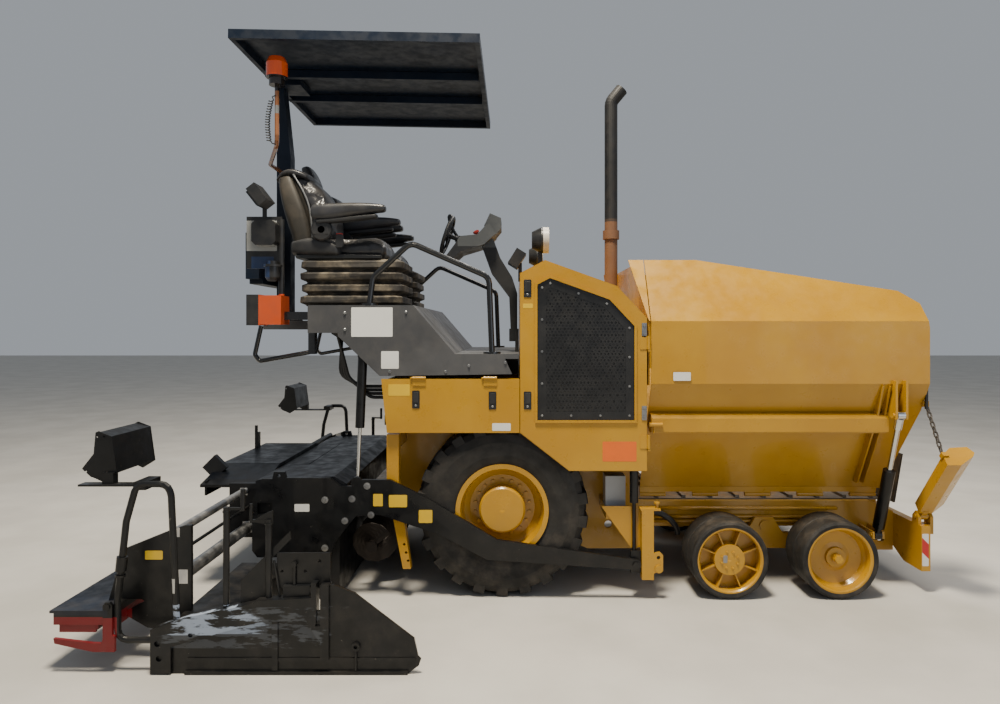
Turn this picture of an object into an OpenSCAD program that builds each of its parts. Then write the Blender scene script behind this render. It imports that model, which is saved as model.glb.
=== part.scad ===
// Compact wheeled asphalt paver with a tamping screed that widens on both sides.
// +X is forward, +Z is up and the right side lies at -Y. The ground is at Z = 0.
// Lengths along X are counted from the rear axle, and from_axle() puts that axle in the model.

/* [Stance] */
// Foremost point of the bumper wings ahead of the rear axle
front_reach = 2810; // [2760:10:2900]
// Hindmost point of the screed walkway behind the rear axle
rear_reach = 2150; // [2120:10:2220]
// Rear edge of the hopper and of its wings, ahead of the rear axle
hopper_rear = 905; // [900:1:930]
// Half width of the tractor's framework inside its skins
body_half = 860; // [850:1:870]
// Thickness of skins and doors
skin = 5; // [4:0.5:6]
// Gap between a closed door and its frame
door_gap = 3; // [2:0.5:4]

/* [Rear wheels] */
// Diameter over the lugs of a rear tyre
rear_tyre_d = 1060; // [1040:5:1080]
// Width of a rear tyre
rear_tyre_w = 365; // [350:5:370]
// Diameter of a rear rim over its flanges
rear_rim_d = 570; // [560:5:590]
// Distance of a rear tyre's outer face from the middle plane
rear_face = 830; // [820:1:834]
// Lugs in each of the two rows
rear_lugs = 22; // [18:1:26]
// Height of the lugs
lug_h = 24; // [16:1:30]
// Wheel nuts on a rear rim
wheel_nuts = 18; // [10:1:20]
// Radius of the rear spindle
rear_spindle_r = 60; // [50:1:65]

/* [Bogie wheels] */
// Diameter of a bogie tyre
bogie_tyre_d = 470; // [450:2:480]
// Width of a bogie tyre
bogie_tyre_w = 287; // [270:1:290]
// Diameter of a bogie rim
bogie_rim_d = 400; // [380:2:410]
// First bogie axle ahead of the rear axle
bogie_x1 = 1387; // [1370:1:1400]
// Second bogie axle ahead of the rear axle
bogie_x2 = 2056; // [2040:1:2060]
// Distance of a bogie tyre's outer face from the middle plane
bogie_face = 860; // [855:1:865]
// Distance of a kingpin from the middle plane
kingpin_y = 530; // [526:1:534]
// Radius of a kingpin
kingpin_r = 15; // [12:0.5:18]
// Radius of a bogie spindle
bogie_spindle_r = 28; // [24:1:32]
// Running clearance of pins in their bores
pin_clear = 0.05; // [0.02:0.01:0.09]

/* [Chassis] */
// Outer face of the chassis side plates
chassis_half = 430; // [425:1:435]
// Thickness of the chassis side plates
chassis_t = 25; // [18:1:30]
// Top of the conveyor bed plate's underside
conveyor_z = 500; // [495:1:505]
// Pitch of the conveyor slats
slat_pitch = 180; // [150:5:220]

/* [Hopper] */
// Height of the hinge line of the hopper wings
wing_hinge_z = 548; // [544:1:552]
// Distance of that hinge line from the middle plane
wing_hinge_y = 452; // [450:1:456]
// Thickness of the wing sheet
wing_t = 8; // [6:0.5:10]
// Hinge knuckles along a wing
wing_knuckles = 9; // [7:2:11]
// Links in a safety chain
chain_links = 9; // [7:2:9]

/* [Screed] */
// Outer face of the screed's side plates and tow arms
arm_face = 865; // [863:1:867]
// Thickness of the tow arms
arm_t = 25; // [20:1:25]
// Outer face of an endgate with the screed drawn out
gate_face = 1780; // [1760:5:1785]
// Height of the tow point
tow_z = 214; // [205:1:220]
// Tow point ahead of the rear axle
tow_x = 812; // [808:1:816]
// Radius of the tow pin
tow_pin_r = 20; // [16:1:24]
// Radius of the auger flights
auger_r = 140; // [130:1:145]
// Pitch of the auger flights
auger_pitch = 230; // [180:10:260]

/* [Platform and canopy] */
// Height of the operator's deck
deck_z = 1787; // [1777:1:1797]
// Height of the foot well
well_z = 1491; // [1481:1:1501]
// Height of the canopy's top at its rear edge
canopy_z = 3444; // [3400:2:3480]
// Half width of the canopy
canopy_half = 900; // [860:5:930]
// Depth of the canopy's edge frame
canopy_t = 55; // [45:1:65]
// Radius of the handrail tube
rail_r = 18; // [15:0.5:20]
// Radius of the exhaust stack
exhaust_r = 45; // [40:1:50]

/* [Hidden] */
$fn = 48;

// Distance of the rear axle behind the middle of the machine
axle_back = (front_reach - rear_reach) / 2;
hop_front = front_reach - 217;
seat_gap = 0.3;
skin_in = body_half + door_gap;
skin_out = skin_in + skin;

// A block between two corners given as ranges
module block(x, y, z) {
  translate([x[0], y[0], z[0]]) cube([x[1] - x[0], y[1] - y[0], z[1] - z[0]]);
}

// An outline in the X-Z plane made solid from y0 to y1
module side_form(outline, y0, y1) {
  translate([0, y1, 0]) rotate([90, 0, 0]) linear_extrude(y1 - y0) polygon(outline);
}

// An outline in the Y-Z plane made solid from x0 to x1
module cross_form(outline, x0, x1) {
  translate([x0, 0, 0]) rotate([90, 0, 90]) linear_extrude(x1 - x0) polygon(outline);
}

// Round bars along the axes and between two points
module y_bar(x, z, y0, y1, r) {
  translate([x, y0, z]) rotate([-90, 0, 0]) cylinder(r = r, h = y1 - y0);
}
module x_bar(x0, x1, y, z, r) {
  translate([x0, y, z]) rotate([0, 90, 0]) cylinder(r = r, h = x1 - x0);
}
module bar(a, b, r) {
  d = b - a;
  translate(a) rotate([0, acos(d[2] / norm(d)), atan2(d[1], d[0])]) cylinder(r = r, h = norm(d));
}

// The path through points with each inner corner rounded on a bend radius by short chords
function unit(v) = v / norm(v);
function turn(p, i) = acos(unit(p[i] - p[i - 1]) * unit(p[i + 1] - p[i]));
function corner(p, i, bend, k) =
  let (u = unit(p[i] - p[i - 1]), v = unit(p[i + 1] - p[i]), a = turn(p, i),
    n = unit(v - u * (u * v)), c = p[i] - u * bend * tan(a / 2) + n * bend)
  [for (j = [0 : k]) c + bend * (u * sin(a * j / k) - n * cos(a * j / k))];
function rounded(p, bend, k) = [
  p[0],
  for (i = [1 : 1 : len(p) - 2]) each corner(p, i, bend, k),
  p[len(p) - 1]
];

// Turns +Z towards a direction
module toward(d) rotate([0, acos(d[2] / norm(d)), atan2(d[1], d[0])]) children();

// A tube or hose along points: a ring swept through them
hose_skew = [0.21, 1, 0.13];
module hose(p, r, bend, sides = 8) {
  q = rounded(p, bend, 3);
  n = len(q);
  tangent = [for (i = [0 : n - 1]) unit(q[min(i + 1, n - 1)] - q[max(i - 1, 0)])];
  polyhedron(
    points = [for (i = [0 : n - 1])
      let (a = unit(cross(tangent[i], hose_skew)), b = cross(tangent[i], a))
      for (k = [0 : sides - 1]) q[i] + r * (a * cos(k * 360 / sides) + b * sin(k * 360 / sides))],
    faces = concat(
      [[for (k = [0 : sides - 1]) k]],
      [for (i = [0 : n - 2]) for (k = [0 : sides - 1])
        [i * sides + k, (i + 1) * sides + k, (i + 1) * sides + (k + 1) % sides, i * sides + (k + 1) % sides]],
      [[for (k = [sides - 1 : -1 : 0]) (n - 1) * sides + k]]
    ));
}

module from_axle() translate([-axle_back, 0, 0]) children();
module left_side() mirror([0, 1, 0]) children();
module both_sides() {
  children();
  mirror([0, 1, 0]) children();
}

// Moves an outline drawn in radius and distance from the middle plane onto a right-hand wheel
module wheel_form(x, z) translate([x, 0, z]) rotate([90, 0, 0]) rotate_extrude($fn = 64) children();

// Chassis: side plates, cross members, final drives, tow posts and rear guide legs
chassis_in = chassis_half - chassis_t;
chassis_top = 780;
chassis_rear_top = 1000;
bed_beam_z = [700, 735];
rear_z = rear_tyre_d / 2;
hub_r = 142;
hub_in = 660;
spindle_end = 720;
post_x = [848, 920];
post_y = [795, 862];
post_z = [122, 540];
leg_y = [775, arm_face - arm_t - 5];
leg_outline = [[-703, 1000], [-630, 1000], [-630, 720], [-556, 180], [-604, 180], [-703, 690]];
module chassis_plate() {
  side_form([
    [-760, 560], [-640, 470], [-300, 300], [300, 300], [560, 180], [900, 180], [1000, 330],
    [hop_front - 293, 330], [hop_front - 193, 170], [hop_front + 7, 170], [hop_front + 7, 430],
    [hop_front - 153, 500],
    [hopper_rear, 500], [hopper_rear - 20, chassis_top], [400, chassis_top],
    [170, chassis_rear_top], [-760, chassis_rear_top]
  ], -chassis_half, -chassis_in);
}
// Holes in the side plates for lashing the machine down
lash_r = 25;
lash_at = [[hop_front - 73, 250], [700, 340]];
module wing_foot() {
  for (x = [cyl_x - eye_half - lug_t - 2, cyl_x + eye_half + 2])
    cross_form(neg_y([[chassis_half, 250], [chassis_half, 345], [cyl_foot[0] - 20, 346],
      [cyl_foot[0] + 20, 344], [cyl_foot[0] + 24, 300], [cyl_foot[0] - 20, 288]]), x, x + lug_t);
  x_bar(cyl_x - eye_half - lug_t - 8, cyl_x + eye_half + lug_t + 8, -cyl_foot[0], cyl_foot[1], cyl_pin_r);
}
module rear_leg() {
  difference() {
    side_form(leg_outline, -leg_y[1], -leg_y[0]);
    for (h = [0 : 2]) y_bar(-596 + 12 * h, 330 - 50 * h, -leg_y[1] - 1, -leg_y[0] + 1, 8);
  }
  block([-703, -643], [-leg_y[0], -chassis_half], [900, 990]);
}
module tow_post() {
  difference() {
    block(post_x, [-post_y[1], -post_y[0]], post_z);
    block([post_x[0] + 10, post_x[1] - 10], [-post_y[1] + 12, -post_y[0] + 1],
      [post_z[0] + 10, post_z[1] - 10]);
  }
  block([post_x[0] - 8, post_x[1] + 42], [-post_y[1], -post_y[0]], [post_z[1], post_z[1] + 12]);
  side_form([[610, post_z[1] + 12], [post_x[1], post_z[1] + 12], [post_x[1], 300], [790, 300]],
    -post_y[0], -post_y[0] + 12);
  block([645, 770], [-720, -590], [536, 722]);
  side_form([[650, 538], [800, 538], [800, 400]], -726, -712);
  difference() {
    side_form([[post_x[1] - 4, 284], [956, 292], [976, 272], [976, 176], [post_x[1] - 4, 160]],
      -post_y[1], -post_y[1] + 12);
    y_bar(948, 257, -post_y[1] - 1, -post_y[1] + 13, 11);
  }
  y_bar(950, 190, -post_y[1] - 10, -post_y[1] + 14, 24);
  translate([post_x[1] + 24, -post_y[1] + 26, post_z[1] + 10]) {
    cylinder(r = 10, h = 36);
    translate([0, 0, 28]) cylinder(r = 17, h = 10);
  }
  block([790, post_x[1]], [-post_y[0] + 12, -chassis_half], [300, 400]);
  block([640, 700], [-post_y[0] + 12, -chassis_half], [470, 540]);
}
module final_drive() {
  y_bar(0, rear_z, -hub_in + 8, -chassis_half, 150);
  y_bar(0, rear_z, -spindle_end, -hub_in + 8, rear_spindle_r);
}
module chassis() {
  color("goldenrod") from_axle() {
    both_sides() {
      difference() {
        chassis_plate();
        for (p = lash_at) y_bar(p[0], p[1], -chassis_half - 1, -chassis_in + 1, lash_r);
      }
      rear_leg();
      tow_post();
      final_drive();
      wing_foot();
    }
    for (x = [-420, 250, 1050, 1690, hop_front - 173])
      block([x, x + 80], [-chassis_in, chassis_in], [x < 600 ? 330 : 350, conveyor_z]);
    for (x = [200, 740])
      block([x, x + 70], [-chassis_in, chassis_in], bed_beam_z);
    block([auger_at[0] - 40, -700], [-chassis_half, chassis_half], [600, 640]);
    block([auger_at[0] - 40, auger_at[0] + 40], [-auger_y[0] + seat_gap, auger_y[0] - seat_gap],
      [auger_at[1] - 50, 640]);
  }
}

// Engine with its flywheel housing, as one plain block
module engine_block() {
  color("dimgray") from_axle() {
    block([190, 780], [-300, 300], [bed_beam_z[1], 1250]);
    block([220, 640], [-210, 210], [1250, 1480]);
    block([800, 850], [-330, 330], [bed_beam_z[1] + 75, 1560]);
    block([780, 800], [-120, 120], [900, 1100]);
  }
}

// Engine hood: roof, firewalls, sills and the side lockers over the rear wheels
hood_front = 879;
hood_outline = [
  [109, 1012], [109, 1981], [261, 2060], [697, 1903], [hood_front, 1709], [hood_front, 782], [406, 782]
];
hood_t = 6;
function edge_n(a, b) = [a[1] - b[1], b[0] - a[0]] / norm(b - a);
function cross2(a, b) = a[0] * b[1] - a[1] * b[0];
// The corner of an outline, drawn clockwise, moved inwards by t
function inset_corner(a, b, c, t) =
  let (n1 = -edge_n(a, b), n2 = -edge_n(b, c), k = 1 + n1 * n2) b + (n1 + n2) * t / k;
function inset(p, t) = let (n = len(p))
  [for (i = [0 : n - 1]) inset_corner(p[(i + n - 1) % n], p[i], p[(i + 1) % n], t)];
locker_x = [-690, 103];
locker_z = [1085, 1340];
hinge_pin_r = 5;
door_axis_x = 886;
door_axis_y = skin_out + 9;
panel_axis_z = locker_z[1] + 6;
panel_axis_y = skin_out + 6;
door_hinge_z = [960, 1560];
panel_hinge_x = [-500, -70];
hinge_half = 40;
hood_cut_z = rear_tyre_d + 15;
module hood_roof() {
  difference() {
    side_form(hood_outline, -body_half, body_half);
    side_form(inset(hood_outline, hood_t), -body_half - 1, body_half + 1);
    block([100, hood_front - hood_t], [-838, 838], [chassis_top - 20, hood_cut_z]);
  }
}
module door_frame() {
  difference() {
    side_form(hood_outline, -body_half, -body_half + 22);
    side_form(inset(hood_outline, 36), -body_half - 1, -body_half + 23);
  }
}
module locker() {
  difference() {
    block(locker_x, [-body_half, -chassis_in], locker_z);
    block([locker_x[0] + 8, locker_x[1] - 8], [-body_half - 1, -chassis_in - 8],
      [locker_z[0] + 8, locker_z[1] - 8]);
  }
  block([locker_x[0], locker_x[1] + 40], [-chassis_half, -chassis_in], [chassis_rear_top, locker_z[0]]);
}
module door_pins() {
  for (z = door_hinge_z) {
    translate([door_axis_x, -door_axis_y, z - hinge_half - 12])
      cylinder(r = hinge_pin_r, h = 2 * hinge_half + 12);
    block([door_axis_x - 5, door_axis_x + 9], [-door_axis_y - 6, -body_half + 4],
      [z - hinge_half - 14, z - hinge_half - 3]);
    block([870, door_axis_x + 9], [-body_half, -body_half + 14], [z - hinge_half - 14, z - hinge_half - 3]);
  }
}
module panel_pins() {
  for (x = panel_hinge_x) {
    x_bar(x - hinge_half - 10, x + hinge_half, -panel_axis_y, panel_axis_z, hinge_pin_r);
    block([x - hinge_half - 14, x - hinge_half - 3], [-panel_axis_y - 6, -body_half + 8],
      [panel_axis_z - 4, panel_axis_z + 4]);
    block([x - hinge_half - 14, x - hinge_half - 3], [-body_half, -body_half + 30],
      [locker_z[1] - 4, panel_axis_z + 4]);
  }
}
// Fixed rear wall of the hopper above the hood, with the sloped lips that meet the wings
module bulkhead() {
  x = [hood_front, hopper_rear - 6];
  cross_form([
    [-body_half + 20, 1300], [-body_half + 20, 1688], [-wing_section[2][0] + 2, 1692],
    [-wing_section[3][0] + 2, 2082], [wing_section[3][0] - 2, 2082], [wing_section[2][0] - 2, 1692],
    [body_half - 20, 1688], [body_half - 20, 1300]
  ], x[1] - 8, x[1]);
  block([x[0], x[1] - 4], [-400, 400], [1500, 1560]);
  both_sides() intersection() {
    folded_sheet(wing_section, wing_t * 1.2);
    side_form([[x[1], 1694], [x[1], 2084], [x[1] - 96, 2084], [x[1] - 8, 1694]], -1000, 0);
  }
}
module engine_hood() {
  color("goldenrod") from_axle() {
    hood_roof();
    both_sides() {
      door_frame();
      locker();
      door_pins();
      panel_pins();
    }
    both_sides() for (x = [490, 820])
      block([x, x + 40], [-body_half, -chassis_in], [chassis_top, 795]);
  }
}

// Rear wall of the hopper, fixed to the hood's front
module hopper_bulkhead() {
  color("goldenrod") from_axle() bulkhead();
}

// Conveyor bed from the hopper to the augers, with its slats
bed_t = 10;
bed_x = [-640, hop_front - 63];
module conveyor() {
  slats = floor((bed_x[1] - bed_x[0] - 60) / slat_pitch);
  color("slategray") from_axle() {
    block(bed_x, [-chassis_in + 1, chassis_in - 1], [conveyor_z, conveyor_z + bed_t]);
    block(bed_x, [-18, 18], [conveyor_z + bed_t, conveyor_z + bed_t + 26]);
    both_sides() for (i = [0 : slats])
      block([bed_x[0] + 40 + i * slat_pitch, bed_x[0] + 66 + i * slat_pitch],
        [-chassis_in + 12, -18], [conveyor_z + bed_t, conveyor_z + bed_t + 18]);
  }
}

// Rubber apron that closes the front of the hopper, hung on its steel strip
apron_foot = [hop_front - 53, 515];
apron_top = [hop_front - 1, 830];
apron_half = 545;
module front_apron() {
  color("black") from_axle() {
    side_form([apron_foot, apron_foot + [12, 0], apron_top + [12, 0], apron_top],
      -apron_half, apron_half);
    block([bed_x[1], apron_foot[0] + 4], [-chassis_in + 20, chassis_in - 20], [conveyor_z, conveyor_z + 24]);
  }
}

// Operator's platform: decks, riser, webs on the lockers and the rear carrier frame
platform_rear = -1175;
deck_front = -539;
well_rear = -284;
deck_t = 30;
web_y = [380, 400];
carrier_z = [1640, 1700];
carrier_y = [250, 320];
carrier_rear = -1640;
module platform() {
  color("#3b3d40") from_axle() {
    side_skirts();
    side_form([
      [platform_rear, deck_z], [deck_front, deck_z], [well_rear, well_z], [locker_x[1], well_z],
      [locker_x[1], well_z - deck_t], [well_rear - 14, well_z - deck_t],
      [deck_front - 14, deck_z - deck_t], [platform_rear, deck_z - deck_t]
    ], -body_half, body_half);
    both_sides() {
      side_form([
        [locker_x[0], locker_z[1]], [locker_x[0], deck_z - deck_t], [deck_front - 14, deck_z - deck_t],
        [well_rear - 14, well_z - deck_t], [locker_x[1], well_z - deck_t], [locker_x[1], locker_z[1]]
      ], -web_y[1] - 30, -web_y[0] - 30);
      block([carrier_rear, locker_x[0] + 60], [-carrier_y[1], -carrier_y[0]], carrier_z);
      side_form([[lift_top[0] - 60, deck_z - deck_t], [lift_top[0] + 60, deck_z - deck_t],
        [lift_top[0] + 30, lift_top[1] - 28], [lift_top[0] - 30, lift_top[1] - 28]], -790, -776);
      y_bar(lift_top[0], lift_top[1], -body_half, -790, lift_pin_r);
      block([platform_rear, platform_rear + 20], [-body_half, -carrier_y[0]], [1618, deck_z - deck_t]);
      side_form([[locker_x[0], locker_z[1]], [locker_x[0], carrier_z[0]], [platform_rear, carrier_z[0]],
        [platform_rear, carrier_z[0] - 30], [locker_x[0] - 40, locker_z[1]]], -carrier_y[1], -carrier_y[0]);
    }
    block([locker_x[0], locker_x[0] + 60], [-web_y[1] - 30, web_y[1] + 30], carrier_z);
    block([locker_x[0] - 40, locker_x[0] + 20], [-web_y[1] - 30, web_y[1] + 30],
      [locker_z[1], locker_z[1] + 30]);
    block([carrier_rear, carrier_rear + 60], [-carrier_y[0], carrier_y[0]], carrier_z);
  }
}

// Dark side skirts of the platform, each with the step box at its rear end
module side_skirts() {
  both_sides() {
    side_form([
      [-993, 1600], [-993, deck_z], [deck_front, deck_z - 6], [well_rear, well_z], [6, well_z],
      [61, 1369], [-739, 1357]
    ], -body_half - 8, -body_half);
    block([platform_rear, -993], [-body_half - 8, -body_half], [1618, deck_z - 6]);
  }
}

// Handrails beside the seats and the grab loops behind the platform
rail_y = 815;
rail_points = [
  [-812, -rail_y, deck_z + 4], [-790, -rail_y, 1960], [-560, -rail_y, 2170],
  [-80, -rail_y, 1960], [-62, -rail_y, well_z + 4]
];
grab_points = [
  [-1195, -690, 1500], [-1530, -690, 1440], [-1560, -690, 1480], [-1520, -690, 1661.5]
];
module foot_plate(x, y, z) {
  translate([x, y, z]) cylinder(r = 3 * rail_r, h = 12);
}
module handrails() {
  color("#1c1d1f") from_axle() both_sides() {
    hose(rail_points, rail_r, 60, 16);
    foot_plate(-812, -rail_y + 5, deck_z);
    foot_plate(-62, -rail_y + 5, well_z);
    hose(grab_points, 14, 24, 12);
    block([-1364.7, platform_rear], [-720, -660], [1700, 1750]);
    block([-1215, platform_rear], [-720, -660], [1485, 1700]);
  }
}

// Pleated seat pedestals
seats_at = [[-955, -450], [-985, 410]];
bellows_z = [deck_z, 2085];
bellows_pleats = 4;
bellows_half = [325, 250];
module bellows_column(at) {
  step = (bellows_z[1] - bellows_z[0]) / bellows_pleats;
  for (i = [0 : bellows_pleats - 1]) {
    z = bellows_z[0] + i * step;
    block([at[0] - bellows_half[0] + 30, at[0] + bellows_half[0] - 30],
      [at[1] - bellows_half[1] + 30, at[1] + bellows_half[1] - 30], [z, z + step]);
    block([at[0] - bellows_half[0], at[0] + bellows_half[0]],
      [at[1] - bellows_half[1], at[1] + bellows_half[1]], [z + step * 0.2, z + step * 0.85]);
  }
}
module seat_bellows() {
  color("#2b2a29") from_axle() for (at = seats_at) bellows_column(at);
}

// Seats: cushion, back, armrests and the headrest of the far seat
module seat(at, extension_h) {
  seat_x = at[0];
  seat_y = at[1];
  translate([0, seat_y, 0]) {
    block([seat_x - 260, seat_x + 180], [-240, 240], [bellows_z[1] + seat_gap, 2150]);
    side_form([
      [seat_x - 250, 2150], [seat_x + 175, 2150], [seat_x + 180, 2215], [seat_x - 90, 2235],
      [seat_x - 290, 2330], [seat_x - 475, 2690], [seat_x - 560, 2740], [seat_x - 600, 2690],
      [seat_x - 450, 2230]
    ], -235, 235);
    for (s = [-1, 1])
      side_form([[seat_x - 400, 2420], [seat_x + 190, 2400], [seat_x + 200, 2440], [seat_x - 380, 2500]],
        s * 265 - 30, s * 265 + 30);
    if (extension_h > 0)
      side_form([
        [seat_x - 590, 2720], [seat_x - 500, 2720], [seat_x - 580, 2720 + extension_h],
        [seat_x - 650, 2720 + extension_h]
      ], -110, 110);
  }
}
module seats() {
  color("#2a2a2c") from_axle() {
    seat(seats_at[0], 0);
    seat(seats_at[1], 200);
  }
}

// Driving console on its column, with the display
console_y = -330;
module console() {
  color("#232527") from_axle() steering_wheel();
  color("#232527") from_axle() translate([0, console_y, 0]) {
    side_form([
      [-376, 2128], [-323, 2198], [-284, 2257], [-170, 2268], [-108, 2335], [-88, 2339], [-49, 2272],
      [-127, 2202], [-280, 2155], [-331, 2108]
    ], -150, 150);
    side_form([[-127, 2331], [-88, 2414], [-14, 2382], [-14, 2315], [-49, 2272], [-100, 2300]], -110, 110);
    side_form([
      [-150, 2215], [-80, 2275], [-60, 2230], [-20, 2120], [60, 1990], [95, 1880], [95, 1630], [50, 1630],
      [40, 1860], [-80, 2020]
    ], -70, 70);
    block([40, 103], [-70, 70], [1560, 1645]);
    block([80, 103], [-120, 120], [well_z, 1640]);
  }
}

// Steering wheel, tilted on the console
steer_at = [-380, console_y, 2280];
steer_r = 125;
steer_tilt = 109;
module steering_wheel() {
  translate(steer_at) rotate([0, steer_tilt, 0]) {
    rotate_extrude() translate([steer_r, 0]) circle(r = 13, $fn = 24);
    for (a = [0 : 120 : 240])
      rotate([0, 0, a + 60]) translate([0, -14, -5]) cube([steer_r, 28, 10]);
    cylinder(r = 38, h = 30, center = true);
    cylinder(r = 16, h = 115);
  }
}

// Canopy: edge frame, roof sheet and the ribs beneath it
canopy_x = [-1643, -132];
canopy_drop = 28;
module canopy_roof() {
  tilt = atan(canopy_drop / (canopy_x[1] - canopy_x[0]));
  length = (canopy_x[1] - canopy_x[0]) / cos(tilt);
  color("#1d2126") from_axle() translate([canopy_x[0], 0, canopy_z]) rotate([0, tilt, 0])
    translate([0, -canopy_half, -canopy_t]) {
      difference() {
        cube([length, 2 * canopy_half, canopy_t]);
        translate([30, 30, -1]) cube([length - 60, 2 * canopy_half - 60, canopy_t - 4]);
      }
      for (y = [0.36, 0.64])
        translate([0, y * 2 * canopy_half - 20, -6]) cube([length - 40, 40, canopy_t - 4]);
      translate([16, canopy_half - 120, -6]) cube([180, 240, canopy_t - 4]);
    }
}

// Central mast of the canopy, with its foot box and the rear equipment rack
mast_x = [-1640, -1590];
module canopy_mast() {
  color("#16181a") from_axle() {
    side_form([
      [mast_x[0], canopy_z - canopy_t - 6.5], [mast_x[1], canopy_z - canopy_t - 7.4],
      [mast_x[1] + 50, 2890], [mast_x[1] + 50, carrier_z[1]], [mast_x[0], carrier_z[1]]
    ], -50, 50);
    block([mast_x[0] - 90, mast_x[0]], [-330, 330], [1950, 2330]);
    block([mast_x[0] - 30, mast_x[1] + 80], [-140, 140], [carrier_z[1], carrier_z[1] + 20]);
    block([mast_x[0] - 90, mast_x[0]], [-400, -330], [1980, 2290]);
  }
}

// Rotating beacon on its pole
beacon_at = [-1400, -750];
beacon_z = 3200;
module beacon() {
  color("darkorange") from_axle() translate([beacon_at[0], beacon_at[1], beacon_z]) {
    cylinder(r = 65, h = 90);
    translate([0, 0, 90]) cylinder(r1 = 65, r2 = 50, h = 35);
    translate([0, 0, -45]) cylinder(r = 48, h = 45);
    translate([-beacon_at[0], -beacon_at[1], -beacon_z]) hose([
      [beacon_at[0], beacon_at[1], beacon_z - 30], [beacon_at[0], beacon_at[1], 2790],
      [mast_x[1] - 10, -300, 2770], [mast_x[1] - 10, -50 - seat_gap, 2770]
    ], 14, 60);
  }
}

// Exhaust stack with its slanted outlet
exhaust_at = [751, -200];
exhaust_base = 1790;
exhaust_top = 3230;
module hood_solid() side_form(hood_outline, -body_half, body_half);
module exhaust_stack() {
  color("#3a3230") from_axle() difference() {
    stack_pipe();
    hood_solid();
  }
}
module stack_pipe() {
  translate([exhaust_at[0], exhaust_at[1], 0]) difference() {
    union() {
      hose([[0, 0, hood_outline[4][1] + 20], [0, 0, exhaust_top], [75, 0, exhaust_top + 90]], exhaust_r, 70, 24);
      translate([0, 0, exhaust_base + 480]) cylinder(r = exhaust_r + 12, h = 60);
      translate([0, 0, exhaust_base + 60]) cylinder(r = exhaust_r + 14, h = 64);
    }
    translate([75, 0, exhaust_top + 90]) toward([75, 0, 90]) translate([0, 0, -50])
      cylinder(r = exhaust_r - 4, h = 60);
  }
}

// Lamp housings: the round headlamps, the work lamps and the rear light boxes
module round_lamp(x, y, z) {
  translate([x, y, z]) rotate([0, 90, 0]) {
    cylinder(r1 = 55, r2 = 85, h = 60);
    translate([0, 0, 60]) cylinder(r = 85, h = 50);
  }
  block([x + 40, x + 70], [y - 12, y + 12], [1990, z - 60]);
}
module lamps() {
  color("#1a1a1b") from_axle() {
    both_sides() {
      difference() {
        round_lamp(190, -500, 2225);
        hood_solid();
      }
      block([-1580, -1500], [-780, -620], [1665, 1855]);
      block([-1500, -1365], [-780, -620], [1670, 1850]);
    }
    rear_rack();
    rear_work_lamp();
    difference() {
      hood_work_lamp();
      hood_solid();
    }
  }
}
// Rack behind the seats: its post, the back plate, the header tank and the filter bowl
rack_post = [-1385, -712];
module rear_rack() {
  translate([rack_post[0], rack_post[1], 1845]) cylinder(r = 18, h = 485);
  block([-1600, rack_post[0] + 6], [-722, -710], [2020, 2345]);
  side_form([
    [-1540, 2182], [-1540, 2289], [-1516, 2313], [-1416, 2313], [-1392, 2289], [-1392, 2182],
    [-1416, 2158], [-1516, 2158]
  ], -805, -716);
  translate([-1425, -752, 1940]) {
    cylinder(r1 = 30, r2 = 46, h = 22);
    translate([0, 0, 22]) cylinder(r = 46, h = 66);
    translate([0, 0, 88]) cylinder(r = 56, h = 14);
    cylinder(r = 32, h = 124);
  }
}
module rear_work_lamp() {
  translate([-1490, -782, 2462]) rotate([0, -38, 0]) {
    cube([64, 150, 128], center = true);
    translate([-38, 0, 0]) cube([14, 132, 104], center = true);
  }
  block([-1500, -1478], [-724, -706], [2300, 2450]);
}
module hood_work_lamp() {
  translate([92, -560, 2096]) rotate([0, 32, 0]) cube([70, 160, 110], center = true);
  block([100, 124], [-575, -545], [1950, 2070]);
}

// Bumper beam across the front, with hinge lugs for its wings
beam_x = [hop_front + 7, hop_front + 62];
beam_z = [140, 420];
beam_half = 760;
flap_axis = [690, 466];
flap_pin_r = 14;
module bumper_beam() {
  color("goldenrod") from_axle() {
    difference() {
      cross_form([
        [-beam_half, beam_z[0]], [-beam_half, beam_z[1]], [beam_half, beam_z[1]],
        [beam_half, beam_z[0]], [560, beam_z[0]], [430, 200], [-430, 200], [-560, beam_z[0]]
      ], beam_x[0], beam_x[1]);
      block([beam_x[0] + 8, beam_x[1] - 8], [-beam_half + 10, beam_half - 10], [beam_z[0] + 70, beam_z[1] - 8]);
    }
    both_sides() for (x = [beam_x[0], beam_x[1] + 20])
      cross_form([[-flap_axis[0] - 34, beam_z[1] - 20], [-flap_axis[0] - 34, flap_axis[1]],
        [-flap_axis[0], flap_axis[1] + 34], [-flap_axis[0] + 34, flap_axis[1]],
        [-flap_axis[0] + 34, beam_z[1] - 20]], x, x + 20);
    both_sides() x_bar(beam_x[0] - 8, beam_x[1] + 48, -flap_axis[0], flap_axis[1], flap_pin_r);
    both_sides() block([beam_x[1], beam_x[1] + 40], [-flap_axis[0] - 34, -flap_axis[0] + 34],
      [beam_z[1] - 60, beam_z[1] - 20 + 20]);
  }
}

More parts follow.
